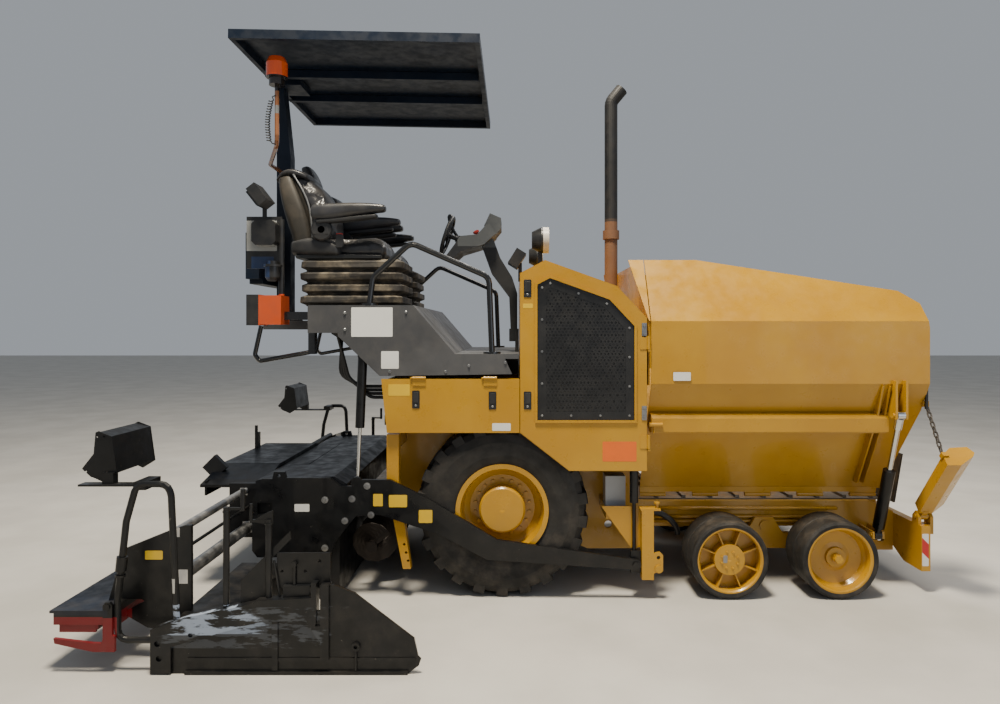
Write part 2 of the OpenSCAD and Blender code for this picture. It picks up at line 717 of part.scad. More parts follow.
// Bogie beams with their pivots, kingpin forks and kingpins
bogie_z = bogie_tyre_d / 2;
fork_r = 36;
boss_h = 108;
bogie_mid = (bogie_x1 + bogie_x2) / 2;
module bogie_fork(x) {
  difference() {
    union() {
      for (z = [bogie_z - boss_h / 2 - 26, bogie_z + boss_h / 2 + 1]) {
        translate([x, -kingpin_y, z]) cylinder(r = fork_r, h = 25);
        block([x - fork_r, x + fork_r], [-kingpin_y, -488], [z, z + 25]);
      }
      block([x - fork_r, x + fork_r], [-488, -chassis_half - 10],
        [bogie_z - boss_h / 2 - 26, bogie_z + boss_h / 2 + 26]);
    }
  }
  translate([x, -kingpin_y, bogie_z - boss_h / 2 - 30]) cylinder(r = kingpin_r, h = boss_h + 60);
}
module bogie_beams() {
  color("goldenrod") from_axle() both_sides() {
    side_form([
      [bogie_x1, 200], [bogie_x1, 280], [bogie_mid - 120, 300], [bogie_mid - 60, 400],
      [bogie_mid + 60, 400], [bogie_mid + 120, 300], [bogie_x2, 280], [bogie_x2, 200]
    ], -488, -chassis_half - 10);
    y_bar(bogie_mid, 350, -500, -chassis_half, 32);
    bogie_fork(bogie_x1);
    bogie_fork(bogie_x2);
  }
}

// Hoses behind the platform
module hoses() {
  color("black") from_axle() {
    for (i = [0 : 3])
      hose([
        [locker_x[0] - 0.3, -560 + 45 * i, 1200 + 20 * i], [-860 - 25 * i, -560 + 45 * i, 1200 + 20 * i],
        [-1010 - 30 * i, -520 + 45 * i, 1330], [-1080, -540 + 45 * i, 1617.7]
      ], 11, 70);
  }
}

// Tow point slides on the posts, with their cylinders
module tow_point_gear() {
  color("#1b1b1c") from_axle() both_sides() {
    block([tow_x - 26, post_x[0]], [-post_y[1] + 32, -post_y[0]], [tow_z - 60, tow_z + 76]);
    y_bar(tow_x, tow_z, -arm_face - 12, -post_y[1] + 32, tow_pin_r);
    translate([tow_x - 4, -post_y[1] + 50, tow_z + 76]) cylinder(r = 11, h = 300);
    translate([tow_x - 4, -post_y[1] + 50, 580]) cylinder(r = 26, h = chassis_top - 580);
  }
}

// Rear tyre: carcass with two rows of shoulder lugs
rear_in = rear_face - rear_tyre_w;
rear_seat_r = 262;
module rear_tyre() {
  r = rear_z;
  base = r - lug_h;
  wheel_form(0, rear_z) polygon([
    [rear_seat_r + seat_gap, rear_in + 18], [rear_rim_d / 2 + 2, rear_in + 18], [340, rear_in + 4],
    [420, rear_in], [470, rear_in + 14], [base, rear_in + 40], [base, rear_face - 40],
    [470, rear_face - 14], [420, rear_face], [340, rear_face - 4], [rear_rim_d / 2 + 2, rear_face - 18],
    [rear_seat_r + seat_gap, rear_face - 18]
  ]);
  intersection() {
    wheel_form(0, rear_z) polygon([
      [470, rear_in + 15], [r - 8, rear_in + 20], [r, rear_in + 34], [r, rear_face - 34],
      [r - 8, rear_face - 20], [470, rear_face - 15]
    ]);
    union() for (i = [0 : rear_lugs - 1]) {
      a = i * 360 / rear_lugs;
      translate([0, 0, rear_z]) rotate([0, a - 90, 0])
        block([440, r + 40], [-rear_face, -rear_face + rear_tyre_w * 0.56], [-34, 34]);
      translate([0, 0, rear_z]) rotate([0, a - 90 + 180 / rear_lugs, 0])
        block([440, r + 40], [-rear_face + rear_tyre_w * 0.44, -rear_in], [-34, 34]);
    }
  }
}
// Rear rim: barrel, dished disc, nuts and the cap of the final drive
module rear_rim() {
  disc_y = 700;
  wheel_form(0, rear_z) polygon([
    [rear_rim_d / 2, rear_in + 6], [rear_rim_d / 2, rear_in + 17], [rear_seat_r, rear_in + 18],
    [rear_seat_r, rear_face - 18], [rear_rim_d / 2, rear_face - 17], [rear_rim_d / 2, rear_face - 6],
    [rear_seat_r - 6, rear_face - 8], [rear_seat_r - 12, rear_face - 30], [rear_seat_r - 24, disc_y + 40],
    [rear_seat_r - 60, disc_y + 16], [hub_r, disc_y + 14], [hub_r, 790], [hub_r - 12, 802], [0, 806],
    [0, spindle_end + 4], [rear_spindle_r + pin_clear, spindle_end + 4],
    [rear_spindle_r + pin_clear, hub_in], [hub_r, hub_in], [hub_r, disc_y],
    [rear_seat_r - 50, disc_y], [rear_seat_r - 14, disc_y - 30], [rear_seat_r - 12, rear_in + 8]
  ]);
  for (i = [0 : wheel_nuts - 1])
    translate([0, 0, rear_z]) rotate([0, (i + 0.5) * 360 / wheel_nuts, 0])
      translate([170, -disc_y - 28, 0]) rotate([-90, 0, 0]) cylinder(r = 12, h = 16, $fn = 6);
}

// Bogie tyres and rims: the first pair ribbed and driven, the second dished
bogie_in = bogie_face - bogie_tyre_w;
bogie_seat_r = bogie_rim_d / 2;
module bogie_tyre(x) {
  r = bogie_z;
  mid = (bogie_in + bogie_face) / 2;
  wheel_form(x, bogie_z) polygon([
    [bogie_seat_r + seat_gap, bogie_in + 4], [r - 16, bogie_in], [r - 4, bogie_in + 8],
    [r, bogie_in + 24], [r, mid - 5], [r - 6, mid], [r, mid + 5], [r, bogie_face - 24],
    [r - 4, bogie_face - 8], [r - 16, bogie_face], [bogie_seat_r + seat_gap, bogie_face - 4]
  ]);
}
bogie_spindle_end = 702;
module bogie_rim(x, driven) {
  s = bogie_seat_r;
  b = bogie_spindle_r + pin_clear;
  if (driven) {
    wheel_form(x, bogie_z) polygon([
      [s, bogie_in + 6], [s, bogie_face - 5], [s - 8, bogie_face - 5], [s - 16, bogie_face - 14],
      [s - 16, 770], [100, 770], [96, 800], [93, 836], [0, 838], [0, bogie_spindle_end + 4],
      [b, bogie_spindle_end + 4], [b, 620], [70, 620], [84, 752], [s - 16, 752], [s - 16, bogie_in + 8]
    ]);
    for (i = [0 : 7]) translate([x, 0, bogie_z]) rotate([0, i * 45 + 22.5, 0])
      block([88, s - 12], [-bogie_face + 34, -765], [-4, 4]);
  } else {
    wheel_form(x, bogie_z) polygon([
      [s, bogie_in + 6], [s, bogie_face - 5], [s - 10, bogie_face - 5], [s - 18, bogie_face - 12],
      [s - 22, 800], [s - 40, 776], [90, 766], [64, 772], [60, 790], [30, 792], [29, 812], [0, 814],
      [0, bogie_spindle_end + 4], [b, bogie_spindle_end + 4], [b, 640], [60, 640], [64, 752],
      [s - 34, 762], [s - 16, bogie_in + 8]
    ]);
    translate([x, -836, bogie_z]) rotate([-90, 0, 0]) cylinder(r = 26, h = 26, $fn = 6);
  }
}

// Steering knuckle: boss on the kingpin, spindle and steering arm
module steering_knuckle(x) {
  difference() {
    union() {
      translate([x, -kingpin_y, bogie_z - boss_h / 2]) cylinder(r = 34, h = boss_h);
      y_bar(x, bogie_z, -bogie_spindle_end, -kingpin_y, bogie_spindle_r);
    }
    translate([x, -kingpin_y, bogie_z - boss_h]) cylinder(r = kingpin_r + pin_clear, h = 2 * boss_h);
  }
  block([x - 120, x - 30], [-kingpin_y - 10, -kingpin_y + 10], [bogie_z + 20, bogie_z + 36]);
}

// Perforated sheet of the grille, its holes in staggered rows inside a plain border
grille_pitch = 42;
grille_hole_r = 15;
grille_border = 42;
module grille_sheet() {
  translate([0, -skin_in, 0]) rotate([90, 0, 0]) linear_extrude(skin * 0.5) difference() {
    polygon(grille_outline);
    intersection() {
      polygon(inset(grille_outline, grille_border));
      for (j = [0 : 24], i = [0 : 14])
        translate([
          grille_outline[0][0] + grille_border + (i + (j % 2) / 2) * grille_pitch,
          grille_outline[0][1] + grille_border + j * grille_pitch * sqrt(3) / 2
        ]) circle(r = grille_hole_r, $fn = 6);
    }
  }
}

// Grille door of the engine bay
grille_outline = [[214, 1090], [214, 1910], [290, 1950], [650, 1820], [800, 1660], [800, 1090]];
module grille_door() {
  difference() {
    side_form([
      [112, 1016], [112, 1979], [262, 2056], [695, 1900], [876, 1707], [876, 785], [408, 785]
    ], -skin_out, -skin_in);
    side_form(grille_outline, -skin_out - 1, -skin_in + 1);
  }
  difference() {
    side_form(inset(grille_outline, -14), -skin_out - 10, -skin_out);
    side_form(grille_outline, -skin_out - 11, -skin_out + 1);
  }
  grille_sheet();
  for (z = door_hinge_z) difference() {
    union() {
      translate([door_axis_x, -door_axis_y, z - hinge_half]) cylinder(r = 9, h = 2 * hinge_half);
      block([835, door_axis_x], [-skin_out - 4, -skin_out], [z - hinge_half, z + hinge_half]);
    }
    translate([door_axis_x, -door_axis_y, z - hinge_half - 1])
      cylinder(r = hinge_pin_r + pin_clear, h = 2 * hinge_half + 2);
  }
}

// Lower side panel, hinged at its top edge
module side_panel() {
  side_form([[-730, locker_z[1]], [106, locker_z[1]], [106, 1014], [-696, 1014]], -skin_out, -skin_in);
  for (x = panel_hinge_x) difference() {
    union() {
      x_bar(x - hinge_half, x + hinge_half, -panel_axis_y, panel_axis_z, 9);
      block([x - hinge_half, x + hinge_half], [-skin_out - 6, -skin_out], [locker_z[1] - 40, panel_axis_z]);
    }
    x_bar(x - hinge_half - 1, x + hinge_half + 1, -panel_axis_y, panel_axis_z, hinge_pin_r + pin_clear);
  }
}

// Hopper wing: folded sheet, front flange, stiffeners, hinge knuckles and cylinder lugs
wing_section = [[wing_hinge_y + 8, 590], [860, 1310], [860, 1690], [620, 2084]];
wing_x = [hopper_rear, hop_front];
wing_outline = [
  [wing_x[0], 500], [wing_x[0], 2090], [1200, 2090],
  [hop_front - 133, 1880], [hop_front - 23, 1800], [hop_front, 1650], [hop_front, 1140],
  [hop_front - 109, 500]
];
cyl_x = hop_front - 188;
cyl_foot = [600, 320];
cyl_head = [872, 1120];
cyl_pin_r = 14;
lug_t = 14;
eye_half = 22;
function neg_y(p) = [for (q = p) [-q[0], q[1]]];
module folded_sheet(section, t) {
  inner = [for (i = [len(section) - 1 : -1 : 0]) section[i] - [t, 0]];
  cross_form(neg_y(concat(section, inner)), wing_x[0] - 110, wing_x[1] + 10);
}
module wing_knuckle_row(first) {
  pitch = (hop_front - 123 - wing_x[0]) / wing_knuckles;
  for (i = [first : 2 : wing_knuckles - 1])
    x_bar(wing_x[0] + i * pitch + 2, wing_x[0] + (i + 1) * pitch - 2, -wing_hinge_y, wing_hinge_z, 14);
}
module hopper_wing() {
  intersection() {
    folded_sheet(wing_section, wing_t * 1.2);
    side_form(wing_outline, -1000, 0);
  }
  difference() {
    union() {
      wing_knuckle_row(0);
      intersection() {
        cross_form(neg_y([[wing_hinge_y - 6, 552], [wing_hinge_y + 6, 552], [wing_hinge_y + 16, 600],
          [wing_hinge_y + 2, 600]]), wing_x[0], hop_front - 123);
        union() {
          block([wing_x[0], hop_front - 123], [-600, -400], [565, 610]);
          wing_knuckle_row_slots();
        }
      }
    }
    x_bar(wing_x[0] - 1, hop_front - 113, -wing_hinge_y, wing_hinge_z, 7 + pin_clear);
  }
  cross_form(neg_y([[715, 1003], [806, 1003], [813, 1012], [813, 1094], [800, 1114], [768, 1126]]),
    wing_x[0] + 10, hop_front - 225);
  for (x = [hop_front - 290, hop_front - 247])
    cross_form(neg_y([[490, 640], [545, 640], [800, 1100], [868, 1296], [850, 1300]]), x, x + 10);
  x_bar(wing_x[0] - 6, wing_x[0] + 76, -818, 1056, 14);
  translate([wing_x[0] + 24, -818, 1006]) cylinder(r = 5, h = 44);
  for (x = [cyl_x - eye_half - lug_t - 2, cyl_x + eye_half + 2])
    cross_form(neg_y([[853, 1330], [cyl_head[0] + 22, 1330], [cyl_head[0] + 22, cyl_head[1] - 22],
      [cyl_head[0] - 22, cyl_head[1] - 22], [760, 1140]]), x, x + lug_t);
  for (x = [cyl_x - eye_half - lug_t - 10, cyl_x + eye_half + lug_t - 4])
    x_bar(x, x + 14, -cyl_head[0], cyl_head[1], cyl_pin_r);
  block([wing_x[1] - 12, wing_x[1] + 26], [-806, -794], [chain_from[2] + 7.9, 1200]);
}
module wing_knuckle_row_slots() {
  pitch = (hop_front - 123 - wing_x[0]) / wing_knuckles;
  for (i = [0 : 2 : wing_knuckles - 1])
    block([wing_x[0] + i * pitch + 2, wing_x[0] + (i + 1) * pitch - 2], [-600, -400], [540, 610]);
}

// Hopper wing cylinders
wing_d = [cyl_head[0] - cyl_foot[0], cyl_head[1] - cyl_foot[1]];
wing_len = norm(wing_d);
wing_lean = atan2(wing_d[0], wing_d[1]);
wing_barrel_len = 470;
module along_wing_cylinder() translate([cyl_x, -cyl_foot[0], cyl_foot[1]]) rotate([wing_lean, 0, 0]) children();
module wing_barrel() {
  color("#151515") from_axle() along_wing_cylinder() {
    difference() {
      union() {
        rotate([0, 90, 0]) cylinder(r = 30, h = 2 * eye_half, center = true);
        translate([0, 0, 18]) cylinder(r = 20, h = 60);
        translate([0, 0, 58]) cylinder(r = 36, h = wing_barrel_len - 58);
      }
      rotate([0, 90, 0]) cylinder(r = cyl_pin_r + pin_clear, h = 4 * eye_half, center = true);
      translate([0, 0, 130]) cylinder(r = 16 + pin_clear, h = wing_barrel_len);
      translate([0, 0, 130]) cylinder(r = 26, h = wing_barrel_len - 146);
    }
  }
}
module wing_rod() {
  color("silver") from_axle() along_wing_cylinder() {
    translate([0, 0, 352]) cylinder(r = 16, h = wing_len - 372);
    translate([0, 0, 345]) cylinder(r = 25, h = 30);
    translate([0, 0, wing_len - 90]) cylinder(r = 24, h = 70);
    translate([0, 0, wing_len]) rotate([0, 90, 0]) cylinder(r = 26, h = 2 * eye_half, center = true);
  }
}

// Folding bumper wing: box section arm with its hinge tube, end cap and chain eye
flap_lean = 39;
flap_len = 500;
flap_w = 140;
flap_x = hop_front + 7;
module along_flap() translate([0, -flap_axis[0], flap_axis[1]]) rotate([flap_lean, 0, 0]) children();
module bumper_wing() {
  color("goldenrod") from_axle() difference() {
    along_flap() {
      translate([beam_x[0] + 24, 0, 0]) rotate([0, 90, 0]) cylinder(r = 24, h = 47);
      difference() {
        linear_extrude(flap_len) polygon([
          [flap_x + 4, -12], [flap_x + 86, -12], [flap_x + 190, 56], [front_reach, 84],
          [flap_x + 186, 128], [flap_x + 80, 121], [flap_x + 14, 68]
        ]);
        translate([flap_x - 10, -60, -10]) cube([240, 300, 50]);
      }
      translate([flap_x + 4, 50, flap_len - 22]) cube([36, 27.8, 34]);
      translate([flap_x + 26, -14, 0]) cube([32, 28, 60]);
    }
    x_bar(beam_x[0] - 10, beam_x[1] + 60, -flap_axis[0], flap_axis[1], flap_pin_r + pin_clear);
  }
}

// Safety chain between the hopper's front corner and the bumper wing
chain_from = [hop_front + 19, -800, 1157];
chain_to = [hop_front + 19, -942, 912];
module chain_link(inner, wire) {
  r = inner * 0.22 + wire;
  rotate([90, 0, 0]) translate([0, 0, -wire / 2]) linear_extrude(wire) difference() {
    union() {
      for (s = [-1, 1]) translate([0, s * (inner / 2 - r + wire)]) circle(r = r, $fn = 8);
      square([2 * r * cos(22.5), inner - 2 * r + 2 * wire], center = true);
    }
    for (s = [-1, 1]) translate([0, s * (inner / 2 - r + wire)]) circle(r = r - wire, $fn = 8);
    square([2 * (r - wire) * cos(22.5), inner - 2 * r + 2 * wire], center = true);
  }
}
module chain() {
  d = chain_to - chain_from;
  pitch = norm(d) / chain_links;
  color("dimgray") from_axle()
    translate(chain_from) rotate([0, acos(d[2] / norm(d)), atan2(d[1], d[0])])
      for (i = [0 : chain_links - 1])
        translate([0, 0, (i + 0.5) * pitch]) rotate([0, 0, i % 2 * 90]) chain_link(pitch + 0.4, 7);
}

// Auger: shaft with a helical flight, and its end bearing at the middle
auger_at = [-810, 290];
auger_y = [75, 760];
module auger() {
  color("#2c2a28") from_axle() translate([auger_at[0], 0, auger_at[1]]) rotate([90, 0, 0]) {
    translate([0, 0, auger_y[0]]) cylinder(r = 34, h = auger_y[1] - auger_y[0]);
    translate([0, 0, auger_y[0] + 10])
      linear_extrude(auger_y[1] - auger_y[0] - 20, twist = 360 * (auger_y[1] - auger_y[0] - 20) / auger_pitch,
        slices = 36, $fn = 12) translate([auger_r / 2 + 10, 0]) square([auger_r - 20, 18], center = true);
  }
}

// Tow arms with the side plates of the main screed
arm_eye_r = 31;
arm_outline = [
  [tow_x, tow_z - arm_eye_r], [tow_x, tow_z + arm_eye_r], [-30, 366], [-435, 608], [-677, 729], [-850, 729],
  [-862, 690], [-975, 690], [-1040, 741], [-1306, 741], [-1316, 777], [-1380, 777], [-1390, 735],
  [-1452, 735], [-1512, 608], [-1512, 300], [-1480, 260], [-1040, 260], [-1010, 353], [-883, 511],
  [-738, 517], [-375, 396], [-90, 245]
];
module tow_arms() {
  color("#141516") from_axle() both_sides() difference() {
    union() {
      side_form(arm_outline, -arm_face, -arm_face + arm_t);
      y_bar(tow_x, tow_z, -arm_face, -arm_face + arm_t, arm_eye_r);
      y_bar(lift_low[0], lift_low[1], -arm_face, -arm_face + arm_t, 34);
      y_bar(lift_low[0], lift_low[1], -arm_face + arm_t, -lift_y - lift_rod_eye - seat_gap, lift_pin_r);
    }
    y_bar(tow_x, tow_z, -arm_face - 1, -arm_face + arm_t + 1, tow_pin_r + pin_clear);
    block([-1480, -1390], [-arm_face - 1, -arm_face + arm_t + 1], [520, 590]);
    y_bar(-1350, 755, -arm_face - 1, -arm_face + arm_t + 1, 10);
  }
}

// Main screed: sole plate, mould front and hood between the side plates
ext_x = [-1560, -1275];
// Sliding tubes and the rod of the width scale: x, z, radius
guide_tubes = [[-1611, 630, 22], [-1583, 410, 33]];
scale_rod = [-1583, 535, 9];
tube_offset = -80;
tube_in = 600;
module tube_carrier(offset) {
  difference() {
    block([-1700, -1490], [-740, -700], [345, 680]);
    for (t = concat(guide_tubes, [scale_rod]))
      y_bar(t[0] + offset, t[1], -741, -699, t[2] + pin_clear);
  }
}
deck_rear = -1885;
deck_top = 745;
deck_crown = 420;
deck_half = 736;
module screed_deck() {
  difference() {
    cross_form([
      [-deck_half, 655], [-deck_half, 672], [-deck_crown, deck_top], [deck_crown, deck_top],
      [deck_half, 672], [deck_half, 655], [deck_crown, 705], [-deck_crown, 705]
    ], deck_rear, -1493);
    for (y = [-deck_crown, deck_crown - 6]) block([deck_rear - 1, -1400], [y, y + 6], [deck_top - 6, deck_top + 9]);
  }
  for (y = [-560, -200, 200, 560]) block([deck_rear + 25, -1480], [y - 6, y + 6], [658, 700]);
  block([deck_rear + 20, deck_rear + 32], [-deck_half + 20, deck_half - 20], [600, 690]);
  block([deck_rear - 2, deck_rear + 16], [190, 204], [690, 914]);
  block([deck_rear + 8, deck_rear + 26], [190, 232], [690, 862]);
  translate([deck_rear + 15, -540, 745]) rotate([0, 45, 0]) cube([112, 40, 112], center = true);
}
module screed_main() {
  color("#15181d") from_axle() {
    difference() {
      side_form([
        [-1255, 0], [-1255, 250], [-1490, 270], [-1500, 600], [-1500, 715], [-1490, 722], [-1425, 735],
        [-1020, deck_top], [-945, 700], [-945, 520], [-988, 440], [-988, 20], [-1005, 0]
      ], -arm_face + arm_t, arm_face - arm_t);
      for (y = [-deck_crown, deck_crown - 6])
        block([-1402, -1100], [y, y + 6], [deck_top - 16, deck_top + 9]);
      block([-1302, -1296], [-deck_crown, deck_crown], [deck_top - 14, deck_top + 9]);
    }
    screed_deck();
    tube_carrier(0);
    left_side() tube_carrier(tube_offset);
  }
}

// Lift cylinders between the platform and the tow arms
lift_top = [-850, 1480];
lift_low = [-882, 712];
lift_y = 826;
lift_eye_half = 22;
lift_pin_r = 14;
lift_barrel_len = 440;
lift_rod_r = 11;
lift_rod_eye = 13;
lift_d = [lift_low[0] - lift_top[0], lift_low[1] - lift_top[1]];
lift_len = norm(lift_d);
module along_lift_cylinder() translate([lift_top[0], -lift_y, lift_top[1]])
  rotate([0, atan2(lift_d[0], lift_d[1]), 0]) children();
module lift_barrel() {
  color("#151515") from_axle() along_lift_cylinder() difference() {
    union() {
      rotate([90, 0, 0]) cylinder(r = 27, h = 2 * lift_eye_half, center = true);
      translate([0, 0, 16]) cylinder(r = 28, h = lift_barrel_len - 16);
    }
    rotate([90, 0, 0]) cylinder(r = lift_pin_r + pin_clear, h = 4 * lift_eye_half, center = true);
    translate([0, 0, 100]) cylinder(r = lift_rod_r + pin_clear, h = lift_barrel_len);
    translate([0, 0, 100]) cylinder(r = 20, h = lift_barrel_len - 112);
  }
}
module lift_rod() {
  color("silver") from_axle() along_lift_cylinder() {
    translate([0, 0, 400]) cylinder(r = lift_rod_r, h = lift_len - 412);
    translate([0, 0, lift_len]) rotate([90, 0, 0]) cylinder(r = 24, h = 2 * lift_rod_eye, center = true);
  }
}

// Screed extension: sole box, guide tubes and side frame, with the walkway, the endgate and its beam,
// the guard hoop, the screw posts and the control box
ext_stroke = 850;
gate_t = 14;
ext_in = gate_face - 880;
beam_in = gate_face - 60;
hoop_y = gate_face - 42;
side_y = gate_face - 160;
gate_outline = [
  [-1490, 0], [-1490, 140], [-1249, 230], [-846, 300], [-846, 422], [-784, 422], [-684, 382],
  [-401, 166], [-382, 80], [-369, 67], [-379, 38], [-430, 0]
];
beam_outline = [
  [-1652, 5], [-1652, 211], [-1586, 237], [-1453, 278], [-1173, 335], [-1148, 350], [-868, 365],
  [-868, 229], [-840, 229], [-840, 150], [-868, 181], [-912, 258], [-1135, 251], [-1249, 219],
  [-1555, 132], [-1555, 5]
];
// Recesses in the beam: x, z, radius
beam_holes = [[-1619, 146, 14], [-1611, 76, 14], [-1462, 187, 11]];
module endgate() {
  side_form(gate_outline, -gate_face + gate_t, -gate_face + 2 * gate_t);
  block([-1490, -430], [-gate_face, -gate_face + 2 * gate_t - 3], [0, gate_t]);
  block([-1480, -396], [-gate_face + 9, -gate_face + gate_t + 3], [60, 76]);
  block([-846, -805], [-gate_face, -beam_in], [67, 423]);
  block([-890, -865], [-gate_face + 1, -beam_in - 1], [240, 432]);
  block([-1077, -1049], [-gate_face + 6, -gate_face + gate_t + 3], [8, 270]);
  difference() {
    side_form(beam_outline, -gate_face, -beam_in);
    for (h = beam_holes) y_bar(h[0], h[1], -gate_face - 1, -gate_face + 12, h[2]);
  }
  difference() {
    y_bar(-678, 130, -gate_face + 1, -gate_face + gate_t + 4, 20);
    y_bar(-678, 130, -gate_face, -gate_face + gate_t - 1, 9);
  }
  translate([-678, -gate_face + 9, 8]) cylinder(r = 6, h = 108);
}

// Spring under the beam, as turns round its guide
spring_at = [-1152, gate_face - 36];
module gate_spring() {
  translate([spring_at[0], -spring_at[1], 10]) {
    cylinder(r = 13, h = 240);
    for (i = [0 : 8]) translate([0, 0, 62 + 20 * i]) cylinder(r = 20, h = 9);
  }
}

// Guard hoop outside the side frame, with the clamp on its rear leg
hoop_r = 16;
hoop_path = [
  [-1600, -hoop_y, 148], [-1828, -hoop_y, 148], [-1830, -hoop_y, 332], [-1788, -hoop_y, 716],
  [-1738, -hoop_y, 896], [-1588, -hoop_y, 896], [-1572, -hoop_y, 840], [-1543, -hoop_y, 225]
];
module guard_hoop() {
  hose(hoop_path, hoop_r, 48, 10);
  bar([-1814, -hoop_y, 480], [-1806.5, -hoop_y, 548], hoop_r + 9);
  bar([-1817, -hoop_y, 452], [-1816, -hoop_y, 462], hoop_r + 7);
}

// Screw posts with their cranks. Each row: x, top of the post, x of the handle, top and radius of the handle
screw_posts = [[-1307, 786, -1228, 872, 11], [-1103, 728, -1188, 802, 7]];
module posts_and_plates() {
  for (p = screw_posts) {
    translate([p[0], -hoop_y, 280]) cylinder(r = 15, h = p[1] - 280);
    translate([p[0], -hoop_y, p[1] - 26]) cylinder(r = 18, h = 8);
    block([min(p[0], p[2]), max(p[0], p[2])], [-hoop_y - 6, -hoop_y + 6], [p[1] - 14, p[1] - 2]);
    translate([p[2], -hoop_y, p[1] - 18]) cylinder(r = p[4], h = p[3] - p[1] + 18);
  }
  side_form([[-1186, 716], [-1103, 700], [-1083, 704], [-1083, 770], [-1112, 760]], -hoop_y - 4, -hoop_y + 4);
  bar([-1079, -hoop_y, 531], [-1046, -hoop_y, 335], 6);
  side_form([[-1242, 300], [-1242, 429], [-1122, 551], [-1003, 668], [-1000, 629], [-1118, 510], [-1118, 300]],
    -beam_in - 10, -beam_in - 4);
  difference() {
    block([-1067, -809], [-beam_in - 11, -beam_in - 5], [395, 564]);
    for (h = [[-1043, 475], [-930, 475], [-861, 524]]) y_bar(h[0], h[1], -beam_in - 20, -beam_in, 8);
  }
  block([-1030, -902], [-gate_face + 25, -beam_in - 2], [330, 412]);
  translate([-980, -hoop_y, 400]) cylinder(r = 8, h = 118);
  y_bar(-980, 512, -hoop_y - 14, -hoop_y + 12, 12);
}

// Rear walkway with its skirts and the folding foot bracket
module walkway() {
  block([-rear_reach, -1870], [-gate_face + 30, -ext_in], [280, 292]);
  block([-2130, -1895], [-gate_face + 30, -gate_face + 42], [225, 284]);
  block([-2105, -1930], [-gate_face + 35, -gate_face + 47], [188, 230]);
  block([-1960, -1920], [-gate_face + 36, -ext_in - 2], [200, 284]);
  block([-1880, -1850], [-gate_face + 30, -ext_in - 1], [200, 300]);
  side_form([
    [-1933, 100], [-1831, 100], [-1831, 175], [-1843, 179], [-1843, 320], [-1855, 336], [-1876, 336],
    [-1888, 320], [-1888, 160], [-1895, 142], [-1933, 142], [-2123, 165], [-2118, 140]
  ], -gate_face + 18, -gate_face + 34);
  y_bar(-1866, 314, -gate_face + 12, -gate_face + 20, 13);
}

// Control box on its arm above the walkway: a long housing between two end plates
box_shell = [[-1995, 925], [-1995, 1127], [-1925, 1107], [-1900, 925]];
box_plate = [
  [-2004, 1127], [-1991, 1133], [-1924, 1107], [-1898, 921], [-1964, 880], [-2001, 897],
  [-2028, 907], [-2072, 947], [-2051, 974], [-2014, 1021]
];
module control_box() {
  side_form(box_shell, -side_y, -side_y + 370);
  difference() {
    for (y = [-side_y - 4, -side_y + 362]) side_form(box_plate, y, y + 8);
    for (h = [[-1998, 1104, 5], [-1960, 1108, 6], [-2052, 933, 5]])
      y_bar(h[0], h[1], -side_y - 5, -side_y + 400, h[2]);
  }
  block([-1960, -1905], [-side_y - 24, -side_y + 20], [870, 930]);
  block([-2070, -1690], [-side_y - 40, -side_y + 20], [866, 876]);
  block([-1752, -1692], [-hoop_y - 6, -side_y + 20], [868, 906]);
}

module extension(tube_shift) {
  color("#17191c") from_axle() {
    block(ext_x, [-gate_face + gate_t + 2, -ext_in], [0, 240]);
    difference() {
      side_form([
        [-1943, 270], [-1943, 285], [-1869, 546], [-1636, 640], [-1560, 665], [-1530, 665], [-1530, 238],
        [-1500, 230], [-1500, 120], [-1675, 150], [-1748, 156]
      ], -side_y, -side_y + 20);
      side_form([[-1850, 298], [-1776, 298], [-1762, 288], [-1850, 242]], -side_y - 1, -side_y + 21);
    }
    for (t = concat(guide_tubes, [scale_rod]))
      y_bar(t[0] + tube_shift, t[1], -side_y + 10, -tube_in, t[2]);
    endgate();
    gate_spring();
    guard_hoop();
    posts_and_plates();
    walkway();
    control_box();
  }
}

chassis();
engine_block();
engine_hood();
hopper_bulkhead();
conveyor();
front_apron();
platform();
handrails();
seat_bellows();
seats();
console();
canopy_roof();
canopy_mast();
beacon();
exhaust_stack();
lamps();
bumper_beam();
bogie_beams();
hoses();
tow_point_gear();
color("#202020") from_axle() rear_tyre();  // tyre_rear_right
color("gold") from_axle() rear_rim();  // rim_rear_right
color("#202020") from_axle() left_side() rear_tyre();  // tyre_rear_left
color("gold") from_axle() left_side() rear_rim();  // rim_rear_left
color("gold") from_axle() steering_knuckle(bogie_x1);  // knuckle_1_right
color("#202020") from_axle() bogie_tyre(bogie_x1);  // tyre_1_right
color("gold") from_axle() bogie_rim(bogie_x1, true);  // rim_1_right
color("gold") from_axle() left_side() steering_knuckle(bogie_x1);  // knuckle_1_left
color("#202020") from_axle() left_side() bogie_tyre(bogie_x1);  // tyre_1_left
color("gold") from_axle() left_side() bogie_rim(bogie_x1, true);  // rim_1_left
color("gold") from_axle() steering_knuckle(bogie_x2);  // knuckle_2_right
color("#202020") from_axle() bogie_tyre(bogie_x2);  // tyre_2_right
color("gold") from_axle() bogie_rim(bogie_x2, false);  // rim_2_right
color("gold") from_axle() left_side() steering_knuckle(bogie_x2);  // knuckle_2_left
color("#202020") from_axle() left_side() bogie_tyre(bogie_x2);  // tyre_2_left
color("gold") from_axle() left_side() bogie_rim(bogie_x2, false);  // rim_2_left
color("gold") from_axle() grille_door();  // grille_door_right
color("gold") from_axle() left_side() grille_door();  // grille_door_left
color("gold") from_axle() side_panel();  // side_panel_right
color("gold") from_axle() left_side() side_panel();  // side_panel_left
color("gold") from_axle() hopper_wing();  // hopper_wing_right
color("gold") from_axle() left_side() hopper_wing();  // hopper_wing_left
wing_barrel();  // wing_barrel_right
wing_rod();  // wing_rod_right
